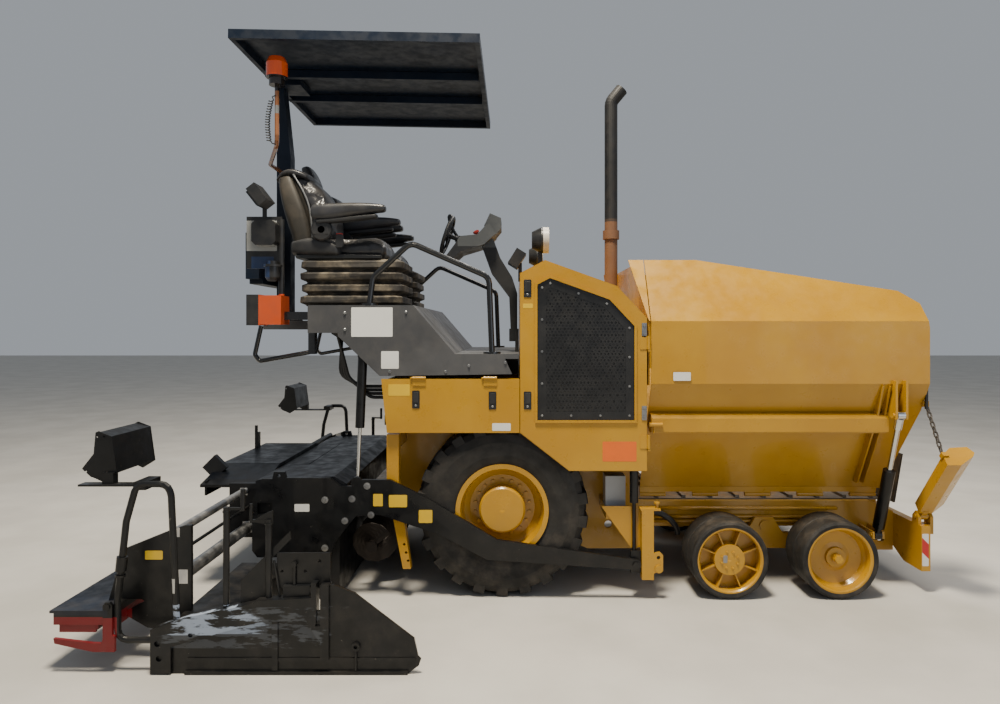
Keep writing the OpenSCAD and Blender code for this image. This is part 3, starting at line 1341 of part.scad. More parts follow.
left_side() wing_barrel();  // wing_barrel_left
left_side() wing_rod();  // wing_rod_left
bumper_wing();  // bumper_wing_right
left_side() bumper_wing();  // bumper_wing_left
chain();  // chain_right
left_side() chain();  // chain_left
auger();  // auger_right
left_side() auger();  // auger_left
tow_arms();
screed_main();
lift_barrel();  // lift_barrel_right
lift_rod();  // lift_rod_right
left_side() lift_barrel();  // lift_barrel_left
left_side() lift_rod();  // lift_rod_left
extension(0);  // extension_right
left_side() extension(tube_offset);  // extension_left
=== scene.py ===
import math

import bmesh
import bpy
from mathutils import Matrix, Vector


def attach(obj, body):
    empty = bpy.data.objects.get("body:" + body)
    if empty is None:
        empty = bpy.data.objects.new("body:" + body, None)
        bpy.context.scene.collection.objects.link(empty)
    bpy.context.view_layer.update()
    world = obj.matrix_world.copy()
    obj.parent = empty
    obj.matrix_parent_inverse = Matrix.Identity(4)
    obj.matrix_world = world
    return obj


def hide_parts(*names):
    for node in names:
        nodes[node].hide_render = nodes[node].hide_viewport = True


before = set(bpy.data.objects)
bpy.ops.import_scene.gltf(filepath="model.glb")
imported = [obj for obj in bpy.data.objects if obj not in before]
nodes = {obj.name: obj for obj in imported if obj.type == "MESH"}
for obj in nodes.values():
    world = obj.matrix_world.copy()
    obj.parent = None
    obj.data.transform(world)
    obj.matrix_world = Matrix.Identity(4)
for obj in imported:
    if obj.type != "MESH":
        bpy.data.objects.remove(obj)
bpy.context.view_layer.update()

# The yard: a pale concrete floor under a soft even sky, with the machine seen square from its right
# side at eye height. Lengths along X in this file are counted in metres from the rear axle, as on a
# workshop drawing, and axle_x puts that axle in the model. Side -1 is the right side.
axle_x = -0.33
sides = (("right", -1), ("left", 1))
eye = Vector((0.079 + axle_x, -5.10, 1.636))
eye_lens = 25.2
eye_shift = (-0.015, -0.022)


def linear(hex_colour):
    """An sRGB hex colour as linear RGBA."""
    parts = [int(hex_colour[i:i + 2], 16) / 255 for i in (1, 3, 5)]
    return [c / 12.92 if c <= 0.04045 else ((c + 0.055) / 1.055) ** 2.4 for c in parts] + [1.0]


def add_node(tree, kind, inputs=None, **settings):
    """A shader node with its settings, its values and its links."""
    node = tree.nodes.new(kind)
    for name, value in settings.items():
        setattr(node, name, value)
    for name, value in (inputs or {}).items():
        socket = node.inputs[name]
        if isinstance(value, bpy.types.NodeSocket):
            tree.links.new(value, socket)
        else:
            socket.default_value = value
    return node


def new_material(name):
    """An empty material with its shader, and the place of each point in the row frame."""
    material = bpy.data.materials.new(name)
    material.use_nodes = True
    tree = material.node_tree
    tree.nodes.clear()
    shader = add_node(tree, "ShaderNodeBsdfPrincipled")
    output = add_node(tree, "ShaderNodeOutputMaterial")
    tree.links.new(shader.outputs["BSDF"], output.inputs["Surface"])
    place = add_node(tree, "ShaderNodeTexCoord").outputs["Object"]
    return material, tree, shader, place


def noise(tree, place, patch, detail=4.0, roughness=0.55):
    """Cloudy patches, each about so many millimetres across."""
    return add_node(tree, "ShaderNodeTexNoise", {
        "Vector": place, "Scale": 1000 / patch, "Detail": detail, "Roughness": roughness}).outputs["Fac"]


def between(tree, value, low, high, to_low=0.0, to_high=1.0):
    """The value mapped from low..high onto to_low..to_high and held there."""
    return add_node(tree, "ShaderNodeMapRange", {
        "Value": value, "From Min": low, "From Max": high, "To Min": to_low, "To Max": to_high,
    }, interpolation_type="SMOOTHSTEP").outputs["Result"]


def times(tree, a, b):
    """The product of two values."""
    return add_node(tree, "ShaderNodeMath", {0: a, 1: b}, operation="MULTIPLY").outputs[0]


def laid_over(tree, under, over, amount):
    """One colour over another by an amount."""
    mix = add_node(tree, "ShaderNodeMix", data_type="RGBA")
    for index, value in ((0, amount), (6, under), (7, over)):
        if isinstance(value, bpy.types.NodeSocket):
            tree.links.new(value, mix.inputs[index])
        else:
            mix.inputs[index].default_value = value
    return mix.outputs[2]


def inside(tree, place, low, high):
    """1 inside the box between two corners, whose X is counted from the rear axle, and 0 outside."""
    along = add_node(tree, "ShaderNodeSeparateXYZ", {"Vector": place})
    amount = None
    for axis, shift in (("X", axle_x), ("Y", 0.0), ("Z", 0.0)):
        index = "XYZ".index(axis)
        for limit, test in ((low[index], "GREATER_THAN"), (high[index], "LESS_THAN")):
            if limit is None:
                continue
            step = add_node(tree, "ShaderNodeMath", {0: along.outputs[axis], 1: limit + shift},
                            operation=test).outputs[0]
            amount = step if amount is None else times(tree, amount, step)
    return amount


def weathered(name, colour, faded, dust, rough=(0.35, 0.6), metallic=0.0, dust_amount=0.5,
              dust_top=1.1, chips=0.0, chip_colour="#5a3a28", relief=0.0004, grain=7.143, coat=0.0,
              parts=(), metal_parts=(), scraped=(), shine=0.5):
    """A surface that has stood and worked outdoors. It fades in broad clouds, dust gathers up to
    dust_top metres and on what faces up, and chips show the metal. Lengths of patches and of the grain
    are in millimetres. The grain is drawn coarser than the real one, so that it shows at all.
    Each row of parts is a box and its colour, each row of metal_parts a box of bare metal, and each row
    of scraped a box and the colour of the long scrapes in it."""
    fading, dust_patch, chip, gloss_patch, scrape = 384.6, 111.1, 29.41, 76.92, 142.86
    scrape_lengths, scrape_start, scrape_end = (1.0, 4.0, 4.5), 0.10, 0.40
    material, tree, shader, place = new_material(name)
    cloudy = between(tree, noise(tree, place, fading), 0.35, 0.68)
    body = laid_over(tree, linear(colour), linear(faded), cloudy)
    for low, high, own_colour in parts:
        body = laid_over(tree, body, linear(own_colour), inside(tree, place, low, high))
    for low, high, own_colour in scraped:
        drawn_out = add_node(tree, "ShaderNodeMapping", {"Vector": place, "Scale": scrape_lengths}).outputs[0]
        along = add_node(tree, "ShaderNodeSeparateXYZ", {"Vector": place}).outputs["X"]
        rear, front = low[0] + axle_x, high[0] + axle_x
        ends = times(tree, between(tree, along, rear, rear + scrape_start),
                     between(tree, along, front - scrape_end, front, 1.0, 0.0))
        spread = times(tree, noise(tree, drawn_out, scrape, 8.0, 0.62),
                       between(tree, ends, 0.0, 1.0, 0.7, 1.0))
        streaks = between(tree, spread, 0.46, 0.53)
        scraped_off = times(tree, streaks, inside(tree, place, low, high))
        body = laid_over(tree, body, linear(own_colour), scraped_off)
    height = add_node(tree, "ShaderNodeSeparateXYZ", {"Vector": place}).outputs["Z"]
    low_down = between(tree, height, 0.0, dust_top, 1.0, 0.12)
    patchy = between(tree, noise(tree, place, dust_patch, 7.0, 0.65), 0.42, 0.72)
    normal = add_node(tree, "ShaderNodeNewGeometry").outputs["Normal"]
    facing = add_node(tree, "ShaderNodeSeparateXYZ", {"Vector": normal}).outputs["Z"]
    upward = between(tree, facing, 0.3, 1.0, 0.55, 1.0)
    dusty = times(tree, times(tree, times(tree, low_down, patchy), dust_amount), upward)
    body = laid_over(tree, body, linear(dust), dusty)
    if chips > 0:
        bare_from = 0.71 - chips * 0.1
        spots = between(tree, noise(tree, place, chip, 9.0, 0.72), bare_from, bare_from + 0.03)
        body = laid_over(tree, body, linear(chip_colour), spots)
    tree.links.new(body, shader.inputs["Base Color"])
    shader.inputs["Metallic"].default_value = metallic
    shader.inputs["Specular IOR Level"].default_value = shine
    bare = None
    for low, high in metal_parts:
        amount = inside(tree, place, low, high)
        bare = amount if bare is None else add_node(
            tree, "ShaderNodeMath", {0: bare, 1: amount}, operation="MAXIMUM").outputs[0]
    if bare is not None:
        tree.links.new(bare, shader.inputs["Metallic"])
    gloss = between(tree, noise(tree, place, gloss_patch, 6.0), 0.3, 0.7, rough[0], rough[1])
    tree.links.new(gloss, shader.inputs["Roughness"])
    shader.inputs["Coat Weight"].default_value = coat
    bumps = add_node(tree, "ShaderNodeBump", {
        "Height": noise(tree, place, grain, 3.0), "Strength": 0.35, "Distance": relief})
    tree.links.new(bumps.outputs["Normal"], shader.inputs["Normal"])
    return material


def dress(material, *names):
    """Gives CAD nodes a finish."""
    for name in names:
        nodes[name].data.materials.clear()
        nodes[name].data.materials.append(material)


def pair(name):
    """A node's name on the right and on the left."""
    return [name + "_right", name + "_left"]


eye_data = bpy.data.cameras.new("eye")
eye_data.lens = eye_lens
eye_data.sensor_width = 36
eye_data.shift_x, eye_data.shift_y = eye_shift
eye_object = bpy.data.objects.new("eye", eye_data)
bpy.context.scene.collection.objects.link(eye_object)
eye_object.location = eye
eye_object.rotation_euler = (math.radians(90), 0, 0)
bpy.context.scene.camera = eye_object

floor_mesh = bpy.data.meshes.new("floor")
yard = 40
floor_mesh.from_pydata([(-yard, -yard, 0), (yard, -yard, 0), (yard, yard, 0), (-yard, yard, 0)],
                       [], [(0, 1, 2, 3)])
floor = bpy.data.objects.new("floor", floor_mesh)
bpy.context.scene.collection.objects.link(floor)
floor.location.z = -0.002
# Brushed concrete: matt and nearly even, with broad faint clouds
concrete, tree, shader, place = new_material("pale_concrete")
shade = between(tree, noise(tree, place, 666.7), 0.3, 0.7)
tree.links.new(laid_over(tree, linear("#b9b6b0"), linear("#adaaa4"), shade), shader.inputs["Base Color"])
shader.inputs["Roughness"].default_value = 0.85
floor_mesh.materials.append(concrete)

sky = bpy.data.worlds.new("sky")
sky.use_nodes = True
sky.node_tree.nodes["Background"].inputs["Color"].default_value = linear("#dfe6ee")
sky.node_tree.nodes["Background"].inputs["Strength"].default_value = 0.45
bpy.context.scene.world = sky
lit_spot = Vector((0, 0, 1.2))
# Each row: name, place, size across, power, colour
for name, spot, across, power, colour in (
        ("sun", (-0.9, -3.1, 9.2), 1.5, 1720, "#fff3dc"),
        ("top", (1.5, 2.2, 7.5), 4.0, 430, "#fff8ee"),
        ("fill", (4.5, -7.0, 2.4), 4.0, 60, "#e8f0ff")):
    light = bpy.data.lights.new(name, "AREA")
    light.size = across
    light.energy = power
    light.color = linear(colour)[:3]
    light_object = bpy.data.objects.new(name, light)
    bpy.context.scene.collection.objects.link(light_object)
    light_object.location = spot
    light_object.rotation_euler = (lit_spot - Vector(spot)).to_track_quat("-Z", "Y").to_euler()

# Frame, hood, hopper and bumper: welded and folded steel sheet, wet-sprayed in golden yellow enamel
# and baked. It keeps a soft gloss, with dust low down and a little fading. The valve box under the
# hood is bare grey casting, and hex bolts with washers hold the plates.
golden_yellow, sunned_yellow, yellow_dust = "#a87a07", "#b08310", "#836a3c"
valve_box = ((0.640, -0.740, 0.530), (0.775, -0.590, 0.725), "#8d9094")
yellow_enamel = weathered("yellow_enamel", golden_yellow, sunned_yellow, yellow_dust, rough=(0.26, 0.46),
                          dust_amount=0.4, coat=0.2, relief=0.0003, parts=[valve_box])
dress(yellow_enamel, "chassis", "engine_hood", "hopper_bulkhead", "bumper_beam", "bogie_beams",
      *pair("side_panel"), *pair("hopper_wing"), *pair("bumper_wing"),
      *pair("rim_rear"), *pair("rim_1"), *pair("rim_2"), *pair("knuckle_1"), *pair("knuckle_2"))
# Bright zinc plating on bolts and hinges, and satin black enamel on small brackets
zinc_steel = weathered("zinc_steel", "#9a9b9b", "#86878a", "#7a6a50", rough=(0.28, 0.5), metallic=0.9,
                       dust_amount=0.3)
black_steel = weathered("black_steel", "#17181a", "#202224", "#5c5650", rough=(0.3, 0.5), dust_amount=0.3)


def make_piece(name, points, faces, material, body, slot, bevel=0.0, smooth=False):
    """A mesh from its points and faces, with its edges broken, as a piece that moves with a body."""
    sharp_from = 0.5
    work = bmesh.new()
    corners = [work.verts.new(point) for point in points]
    for face in faces:
        work.faces.new([corners[i] for i in face])
    bmesh.ops.recalc_face_normals(work, faces=work.faces)
    if bevel > 0:
        sharp = [edge for edge in work.edges if edge.is_manifold and edge.calc_face_angle(0) > sharp_from]
        bmesh.ops.bevel(work, geom=sharp, offset=bevel, segments=2, profile=0.5, affect="EDGES")
    for face in work.faces:
        face.smooth = smooth
    mesh = bpy.data.meshes.new(name)
    work.to_mesh(mesh)
    work.free()
    mesh.materials.append(material)
    piece = bpy.data.objects.new(name, mesh)
    bpy.context.scene.collection.objects.link(piece)
    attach(piece, body)
    return piece


def prism(outline, y0, y1):
    """The points and faces of an X-Z outline made solid between two distances in Y."""
    n = len(outline)
    points = [(x + axle_x, y, z) for y in (y0, y1) for x, z in outline]
    faces = [list(range(n)), list(range(2 * n - 1, n - 1, -1))]
    faces += [[i, (i + 1) % n, n + (i + 1) % n, n + i] for i in range(n)]
    return points, faces


def rounded(x, z, across, high, corner, steps=4):
    """A rectangle with round corners about a middle, as an outline in X and Z."""
    outline = []
    for quarter, (sx, sz) in enumerate(((1, 1), (-1, 1), (-1, -1), (1, -1))):
        for k in range(steps + 1):
            angle = math.radians(90 * (quarter + k / steps))
            outline.append((x + sx * (across / 2 - corner) + corner * math.cos(angle),
                            z + sz * (high / 2 - corner) + corner * math.sin(angle)))
    return outline


def turned(profile, centre, axis, segments=40, closed=False):
    """The points and faces of a profile of radius and distance along an axis, turned about it."""
    along = Vector(axis).normalized()
    side = along.orthogonal().normalized()
    other = along.cross(side)
    middle = Vector((centre[0] + axle_x, centre[1], centre[2]))
    points, faces, n = [], [], len(profile)
    for k in range(segments):
        angle = 2 * math.pi * k / segments
        out = side * math.cos(angle) + other * math.sin(angle)
        points += [middle + along * far + out * radius for radius, far in profile]
    for k in range(segments):
        a, b = k * n, (k + 1) % segments * n
        faces += [[a + i, b + i, b + i + 1, a + i + 1] for i in range(n - 1)]
    if not closed:
        faces.append([k * n for k in range(segments)])
        faces.append([k * n + n - 1 for k in range(segments - 1, -1, -1)])
    return points, faces


def hex_heads(name, spots, radius, body, material=zinc_steel, slot="bare_steel", thick=0.007):
    """Hex bolt heads on washers. Each spot is a point on the surface and the way the head faces."""
    points, faces = [], []
    for spot, facing in spots:
        washer = [(radius * 1.25, 0), (radius * 1.25, 0.002)]
        head = [(radius, 0.002), (radius, thick), (radius * 0.8, thick + 0.0012)]
        for profile, segments in ((washer, 16), (head, 6)):
            own_points, own_faces = turned(profile, spot, facing, segments)
            start = len(points)
            points += own_points
            faces += [[start + i for i in face] for face in own_faces]
    return make_piece(name, points, faces, material, body, slot)


# Engine doors: folded sheet with a raised lip round a black perforated screen. The screen is punched
# in staggered rows of round holes and screwed to the door through its plain border, and a thin black
# sheet behind it is painted shade that keeps the view through the holes dark. Each door has two paddle
# latches on its rear edge.
screen_outline = [(0.214, 1.090), (0.214, 1.910), (0.290, 1.950), (0.650, 1.820), (0.800, 1.660),
                  (0.800, 1.090)]
screen_left, screen_right, screen_foot, screen_top = 0.214, 0.81, 1.09, 1.96
hole_pitch = 0.022
hole_radius = 0.0074
screen_border = 0.052
door_face = 0.868
punched_depth = 0.0015
backing_inner, backing_outer = 0.8612, 0.8618
# The same enamel, with the sheet behind the screen painted black: painted shade, so that the screen's holes
# show dark
sheet_low, sheet_high = (0.212, 0.8620, 1.088), (0.802, 0.8662, 1.952)
shaded_sheet_boxes = [(sheet_low, sheet_high, "#101113"),
               ((sheet_low[0], -sheet_high[1], sheet_low[2]), (sheet_high[0], -sheet_low[1], sheet_high[2]),
                "#101113")]
door_enamel = weathered("door_enamel", golden_yellow, sunned_yellow, yellow_dust, rough=(0.26, 0.46),
                        dust_amount=0.4, coat=0.2, relief=0.0003, parts=shaded_sheet_boxes)
# Punched sheet in satin black, a little dusty, and latches moulded in black polyamide
screen_black = weathered("screen_black", "#0f1012", "#17181a", "#4a443c", rough=(0.35, 0.55), dust_amount=0.3)
moulded_black = weathered("moulded_black", "#191a1c", "#26272a", "#5f5a53", rough=(0.4, 0.6),
                          dust_amount=0.35, dust_top=4.0)


def drawn_in(outline, distance):
    """A clockwise convex outline moved inwards by a distance."""
    corners = []
    n = len(outline)
    for i in range(n):
        a, b, c = (Vector(outline[(i + k) % n]) for k in (-1, 0, 1))
        u, v = (b - a).normalized(), (c - b).normalized()
        into_u, into_v = Vector((u.y, -u.x)), Vector((v.y, -v.x))
        corners.append(tuple(b + (into_u + into_v) * distance / (1 + into_u.dot(into_v))))
    return corners


def well_inside(x, z, outline):
    """Whether a point lies inside a clockwise convex outline."""
    for i, a in enumerate(outline):
        b = outline[(i + 1) % len(outline)]
        if (b[0] - a[0]) * (z - a[1]) - (b[1] - a[1]) * (x - a[0]) > 0:
            return False
    return True


for name, side in sides:
    body = "door_" + name
    dress(door_enamel, "grille_door_" + name)
    reach = drawn_in(screen_outline, screen_border - hole_pitch)
    # Each hole has its own six-sided cell of sheet round it, cornered in twelve places, and the cells
    # close up a hair over one another
    cell = [hole_pitch / math.sqrt(3) * 1.001 if k % 2 == 0 else hole_pitch / 2 * 1.001 for k in range(12)]
    angles = [math.radians(90 + 30 * k) for k in range(12)]
    sheet_y = side * (door_face - punched_depth)
    points, faces = [], []
    row, z = 0, screen_foot
    while z < screen_top:
        x = screen_left + (hole_pitch / 2 if row % 2 else 0)
        while x < screen_right:
            if well_inside(x, z, reach):
                start = len(points)
                for radii in (cell, [hole_radius] * 12):
                    points += [(x + axle_x + radius * math.cos(angle), sheet_y, z + radius * math.sin(angle))
                               for radius, angle in zip(radii, angles)]
                faces += [[start + k, start + (k + 1) % 12, start + 12 + (k + 1) % 12, start + 12 + k]
                          for k in range(12)]
            x += hole_pitch
        row += 1
        z += hole_pitch * math.sqrt(3) / 2
    make_piece("screen_" + name, points, faces, screen_black, body, "black_paint")
    # A thin black sheet behind the screen: painted shade that keeps the view through the holes dark
    make_piece("shade_backing_" + name,
               *prism(drawn_in(screen_outline, 0.006), side * backing_inner, side * backing_outer),
               screen_black, body, "black_paint")
    outer, inner = drawn_in(screen_outline, 0.001), drawn_in(screen_outline, screen_border)
    n = len(outer)
    points = [(x + axle_x, side * (door_face - d), z) for d in (0.0011, 0.0004)
              for x, z in outer + inner]
    faces = []
    for layer in (0, 2 * n):
        faces += [[layer + i, layer + (i + 1) % n, layer + n + (i + 1) % n, layer + n + i]
                  for i in range(n)]
    for ring in (0, n):
        faces += [[ring + i, ring + (i + 1) % n, 2 * n + ring + (i + 1) % n, 2 * n + ring + i]
                  for i in range(n)]
    make_piece("screen_border_" + name, points, faces, screen_black, body, "black_paint")
    middle = drawn_in(screen_outline, screen_border * 0.55)
    screw_spacing = 0.2
    spots = []
    for i in range(n):
        a, b = Vector(middle[i]), Vector(middle[(i + 1) % n])
        count = max(1, round((b - a).length / screw_spacing))
        for k in range(count):
            spot = a.lerp(b, k / count)
            spots.append(((spot.x, side * (door_face - 0.0004), spot.y), (0, side, 0)))
    hex_heads("screen_screws_" + name, spots, 0.006, body, thick=0.004)


def latch(name, x, z, body, side):
    """A flush paddle latch: a pressed bezel, the paddle in it and the lock below."""
    bezel_face, paddle_face = side * (door_face + 0.004), side * (door_face + 0.009)
    make_piece(name + "_bezel", *prism(rounded(x, z, 0.046, 0.108, 0.006), side * door_face, bezel_face),
               black_steel, body, "black_paint", bevel=0.0012)
    make_piece(name + "_paddle",
               *prism(rounded(x, z + 0.012, 0.032, 0.062, 0.004), bezel_face, paddle_face),
               moulded_black, body, "dark_plastic", bevel=0.0015)
    make_piece(name + "_lock", *turned([(0.007, 0), (0.007, 0.003), (0.005, 0.004)],
                                       (x, bezel_face, z - 0.036), (0, side, 0), 20),
               zinc_steel, body, "bare_steel")


for name, side in sides:
    latch("door_latch_top_" + name, 0.155, 1.887, "door_" + name, side)
    latch("door_latch_low_" + name, 0.155, 1.210, "door_" + name, side)
    latch("panel_latch_rear_" + name, -0.520, 1.216, "panel_" + name, side)
    latch("panel_latch_front_" + name, -0.057, 1.210, "panel_" + name, side)

# Signs of polyester foil, blank and stuck on: smooth, and a little browned by dust
foil_white = weathered("foil_white", "#d9dad6", "#cfcfca", "#8f8778", rough=(0.3, 0.4), dust_amount=0.3)
foil_yellow = weathered("foil_yellow", "#d8b31c", "#cfa91e", "#8f8055", rough=(0.3, 0.4), dust_amount=0.3)
foil_orange = weathered("foil_orange", "#e0660c", "#d36012", "#8f6a50", rough=(0.3, 0.4), dust_amount=0.3)


def foil(name, x, z, across, high, material, body, side, face=door_face, slot="yellow_paint"):
    """A blank sign: a foil or thin plate stuck flat on a face."""
    make_piece(name, *prism(rounded(x, z, across, high, 0.006), side * face, side * (face + 0.0008)),
               material, body, slot)


# Each row: name, place ahead of the rear axle, height, width, height of the sign, finish, body
for label, x, z, across, high, material, body in (
        ("door_plate", 0.711, 0.901, 0.205, 0.120, foil_orange, "door_right"),
        ("panel_sign", -0.622, 1.273, 0.130, 0.070, foil_yellow, "panel_right"),
        ("sill_sign", -0.003, 1.0495, 0.112, 0.046, foil_white, "panel_right"),
        ("deck_sign", -0.786, 1.684, 0.250, 0.178, foil_white, "tractor"),
        ("deck_sign_low", -0.677, 1.455, 0.106, 0.106, foil_white, "tractor"),
        ("wing_sign", 1.089, 1.355, 0.106, 0.052, foil_white, "wing_right")):
    foil(label, x, z, across, high, material, body, -1)

# Hinges of the engine doors: zinc-plated leaves, each held by two bolts, and a small blank foil by the
# upper latch
hinge_x, leaf_thick = 0.860, 0.004
for name, side in sides:
    leaf_face = side * (door_face + leaf_thick)
    for k, z in enumerate((1.636, 1.134)):
        make_piece("hinge_leaf_%d_%s" % (k, name),
                   *prism(rounded(hinge_x, z, 0.030, 0.086, 0.004), side * door_face, leaf_face),
                   zinc_steel, "door_" + name, "bare_steel", bevel=0.001)
        hex_heads("hinge_bolts_%d_%s" % (k, name),
                  [((hinge_x, leaf_face, z + dz), (0, side, 0)) for dz in (-0.026, 0.026)],
                  0.007, "door_" + name, thick=0.004)
    foil("door_label_" + name, 0.157, 1.782, 0.060, 0.028, foil_yellow, "door_" + name, side)

# Hopper: strips of moulded black rubber, bolted to the front edges of the wings, that keep the mix in
# where the wings meet the front apron
strip_inner, strip_outer = 0.806, 0.822
for name, side in sides:
    make_piece("wing_strip_" + name,
               *prism(rounded(2.598, 1.240, 0.016, 0.180, 0.006), side * strip_inner, side * strip_outer),
               moulded_black, "wing_" + name, "black_rubber", bevel=0.003)

# Bumper ends: thin plates fixed to the ends of the beam, each covered with reflective film in slanting
# red and white stripes. The film is smooth and even, and glossier than the enamel round it.
stripe_red, stripe_white = "#b01c1e", "#cfcfca"
stripe_width, edge_from, edge_to = 0.092, 0.044, 0.048
bumper_end = 0.760
stripe_plate, tree, shader, place = new_material("stripe_plate")
along = add_node(tree, "ShaderNodeSeparateXYZ", {"Vector": place})
rising = add_node(tree, "ShaderNodeMath", {0: along.outputs["X"], 1: along.outputs["Z"]},
                  operation="ADD").outputs[0]
turn = add_node(tree, "ShaderNodeMath", {0: rising, 1: stripe_width}, operation="PINGPONG").outputs[0]
striped = laid_over(tree, linear(stripe_red), linear(stripe_white), between(tree, turn, edge_from, edge_to))
tree.links.new(striped, shader.inputs["Base Color"])
shader.inputs["Roughness"].default_value = 0.3
for name, side in sides:
    foil("end_plate_" + name, 2.624, 0.272, 0.040, 0.200, stripe_plate, "tractor", side, bumper_end,
         "dark_plastic")

# Seats: a moulded shell with vinyl side panels, a pressed cushion and back in black vinyl worn grey,
# a saddle over the top of the back, and foam armrests that hinge on covers beside the lap belt. The
# far seat has a taller headrest. Both stand on pleated rubber bellows, brown with road dust.
seats_at = ((-0.955, -0.450), (-0.985, 0.410))
# Calendered vinyl with a leather grain, rubbed from black to grey, and its dustier brown side panels
worn_vinyl = weathered("worn_vinyl", "#1b1c1e", "#34353a", "#6a6257", rough=(0.28, 0.5), dust_amount=0.45,
                       dust_top=6.0, relief=0.0006, grain=2.381, coat=0.1)
side_vinyl = weathered("side_vinyl", "#3a342b", "#2b2925", "#6f6353", rough=(0.4, 0.6), dust_amount=0.5,
                       dust_top=6.0, relief=0.0006, grain=2.381)
# Extruded grey piping, the red button of the belt, and matt bellows rubber that holds the dust
piping_grey = weathered("piping_grey", "#74777c", "#5f6266", "#6f6353", rough=(0.4, 0.5), dust_top=6.0)
belt_red = weathered("belt_red", "#b3281c", "#a02a20", "#7a5a4a", rough=(0.3, 0.4))
bellows_rubber = weathered("bellows_rubber", "#1e1c1a", "#2b2825", "#8a7e69", rough=(0.65, 0.85),
                           dust_amount=1.0, dust_top=9.0, relief=0.0008)


def lofted(rows, middle_y, tilt, exponent=3.0, ring=40, nose=0.02):
    """The points and faces of a rounded form through sections. Each row: x, z, half width in Y and half
    depth across the path, tilt being the angle of that depth above the X axis. Both ends are rounded
    over the length of the nose, in three steps of how far out and how much of the full depth."""
    first, last = rows[0], rows[-1]
    start = (Vector(first[:2]) - Vector(rows[1][:2])).normalized()
    end = (Vector(last[:2]) - Vector(rows[-2][:2])).normalized()
    near, far = [], []
    for back, share in ((1.0, 0.45), (0.75, 0.75), (0.35, 0.93)):
        a = Vector(first[:2]) + start * nose * back
        near.append((a.x, a.y, first[2] * (1 - (1 - share) * 0.5), first[3] * share))
        b = Vector(last[:2]) + end * nose * back
        far.append((b.x, b.y, last[2] * (1 - (1 - share) * 0.5), last[3] * share))
    sections = near + [tuple(row) for row in rows] + far[::-1]
    out = Vector((math.cos(math.radians(tilt)), math.sin(math.radians(tilt))))
    points, faces = [], []
    for x, z, half, deep in sections:
        for k in range(ring):
            angle = 2 * math.pi * k / ring
            c, s = math.cos(angle), math.sin(angle)
            a = math.copysign(abs(c) ** (2 / exponent), c) * half
            b = math.copysign(abs(s) ** (2 / exponent), s) * deep
            points.append((x + axle_x + out.x * b, middle_y + a, z + out.y * b))
    for i in range(len(sections) - 1):
        faces += [[i * ring + k, i * ring + (k + 1) % ring, (i + 1) * ring + (k + 1) % ring,
                   (i + 1) * ring + k] for k in range(ring)]
    faces += [list(range(ring)), list(range(len(points) - 1, len(points) - 1 - ring, -1))]
    return points, faces


def keep_applied(piece):
    """The mesh as its modifiers leave it, with none of them kept."""
    graph = bpy.context.evaluated_depsgraph_get()
    mesh = bpy.data.meshes.new_from_object(piece.evaluated_get(graph))
    piece.modifiers.clear()
    old = piece.data
    piece.data = mesh
    bpy.data.meshes.remove(old)
    for polygon in piece.data.polygons:
        polygon.use_smooth = True


def sub_divided(piece):
    """One Catmull-Clark round applied to the mesh."""
    modifier = piece.modifiers.new("round", "SUBSURF")
    modifier.levels = modifier.render_levels = 1
    keep_applied(piece)


def stuffed(piece, cap, pressure=4.0, voxel=0.008):
    """Blows a closed form up as stuffed cloth, with no point further out than the cap."""
    remesh = piece.modifiers.new("remesh", "REMESH")
    remesh.mode = "VOXEL"
    remesh.voxel_size = voxel
    keep_applied(piece)
    rest = [vertex.co.copy() for vertex in piece.data.vertices]
    cloth = piece.modifiers.new("cloth", "CLOTH")
    cloth.settings.use_pressure = True
    cloth.settings.uniform_pressure_force = pressure
    cloth.settings.effector_weights.gravity = 0
    cloth.settings.quality = 4
    first, last = 1, 20
    cloth.point_cache.frame_start, cloth.point_cache.frame_end = first, last
    scene = bpy.context.scene
    for moment in range(first, last + 1):
        scene.frame_set(moment)
    keep_applied(piece)
    scene.frame_set(first)
    for vertex, old in zip(piece.data.vertices, rest):
        move = vertex.co - old
        if move.length > cap:
            vertex.co = old + move * (cap / move.length)
    sub_divided(piece)


def swept(route, radius, sides_round=10, smooth=4):
    """The points and faces of a round bar or hose along a route of points, curved through them by a
    Catmull-Rom spline of so many steps from point to point."""
    route = [Vector((x + axle_x, y, z)) for x, y, z in route]
    n = len(route)
    line = []
    for i in range(n - 1):
        a, b, c, d = route[max(i - 1, 0)], route[i], route[i + 1], route[min(i + 2, n - 1)]
        for k in range(smooth):
            t = k / smooth
            line.append(0.5 * ((2 * b) + (c - a) * t + (2 * a - 5 * b + 4 * c - d) * t * t
                               + (3 * b - a - 3 * c + d) * t * t * t))
    line.append(route[-1])
    m = len(line)
    points, faces, side = [], [], None
    for i, spot in enumerate(line):
        along = (line[min(i + 1, m - 1)] - line[max(i - 1, 0)]).normalized()
        side = along.orthogonal() if side is None else side - along * side.dot(along)
        side.normalize()
        other = along.cross(side)
        for k in range(sides_round):
            angle = 2 * math.pi * k / sides_round
            points.append(spot + (side * math.cos(angle) + other * math.sin(angle)) * radius)
    for i in range(m - 1):
        here, there = i * sides_round, (i + 1) * sides_round
        faces += [[here + k, here + (k + 1) % sides_round, there + (k + 1) % sides_round, there + k]
                  for k in range(sides_round)]
    faces.append(list(range(sides_round)))
    faces.append(list(range(len(points) - 1, len(points) - 1 - sides_round, -1)))
    return points, faces


def shifted(rows, dx):
    """Rows of a table of sections or points, moved along X."""
    return [(row[0] + dx,) + tuple(row[1:]) for row in rows]


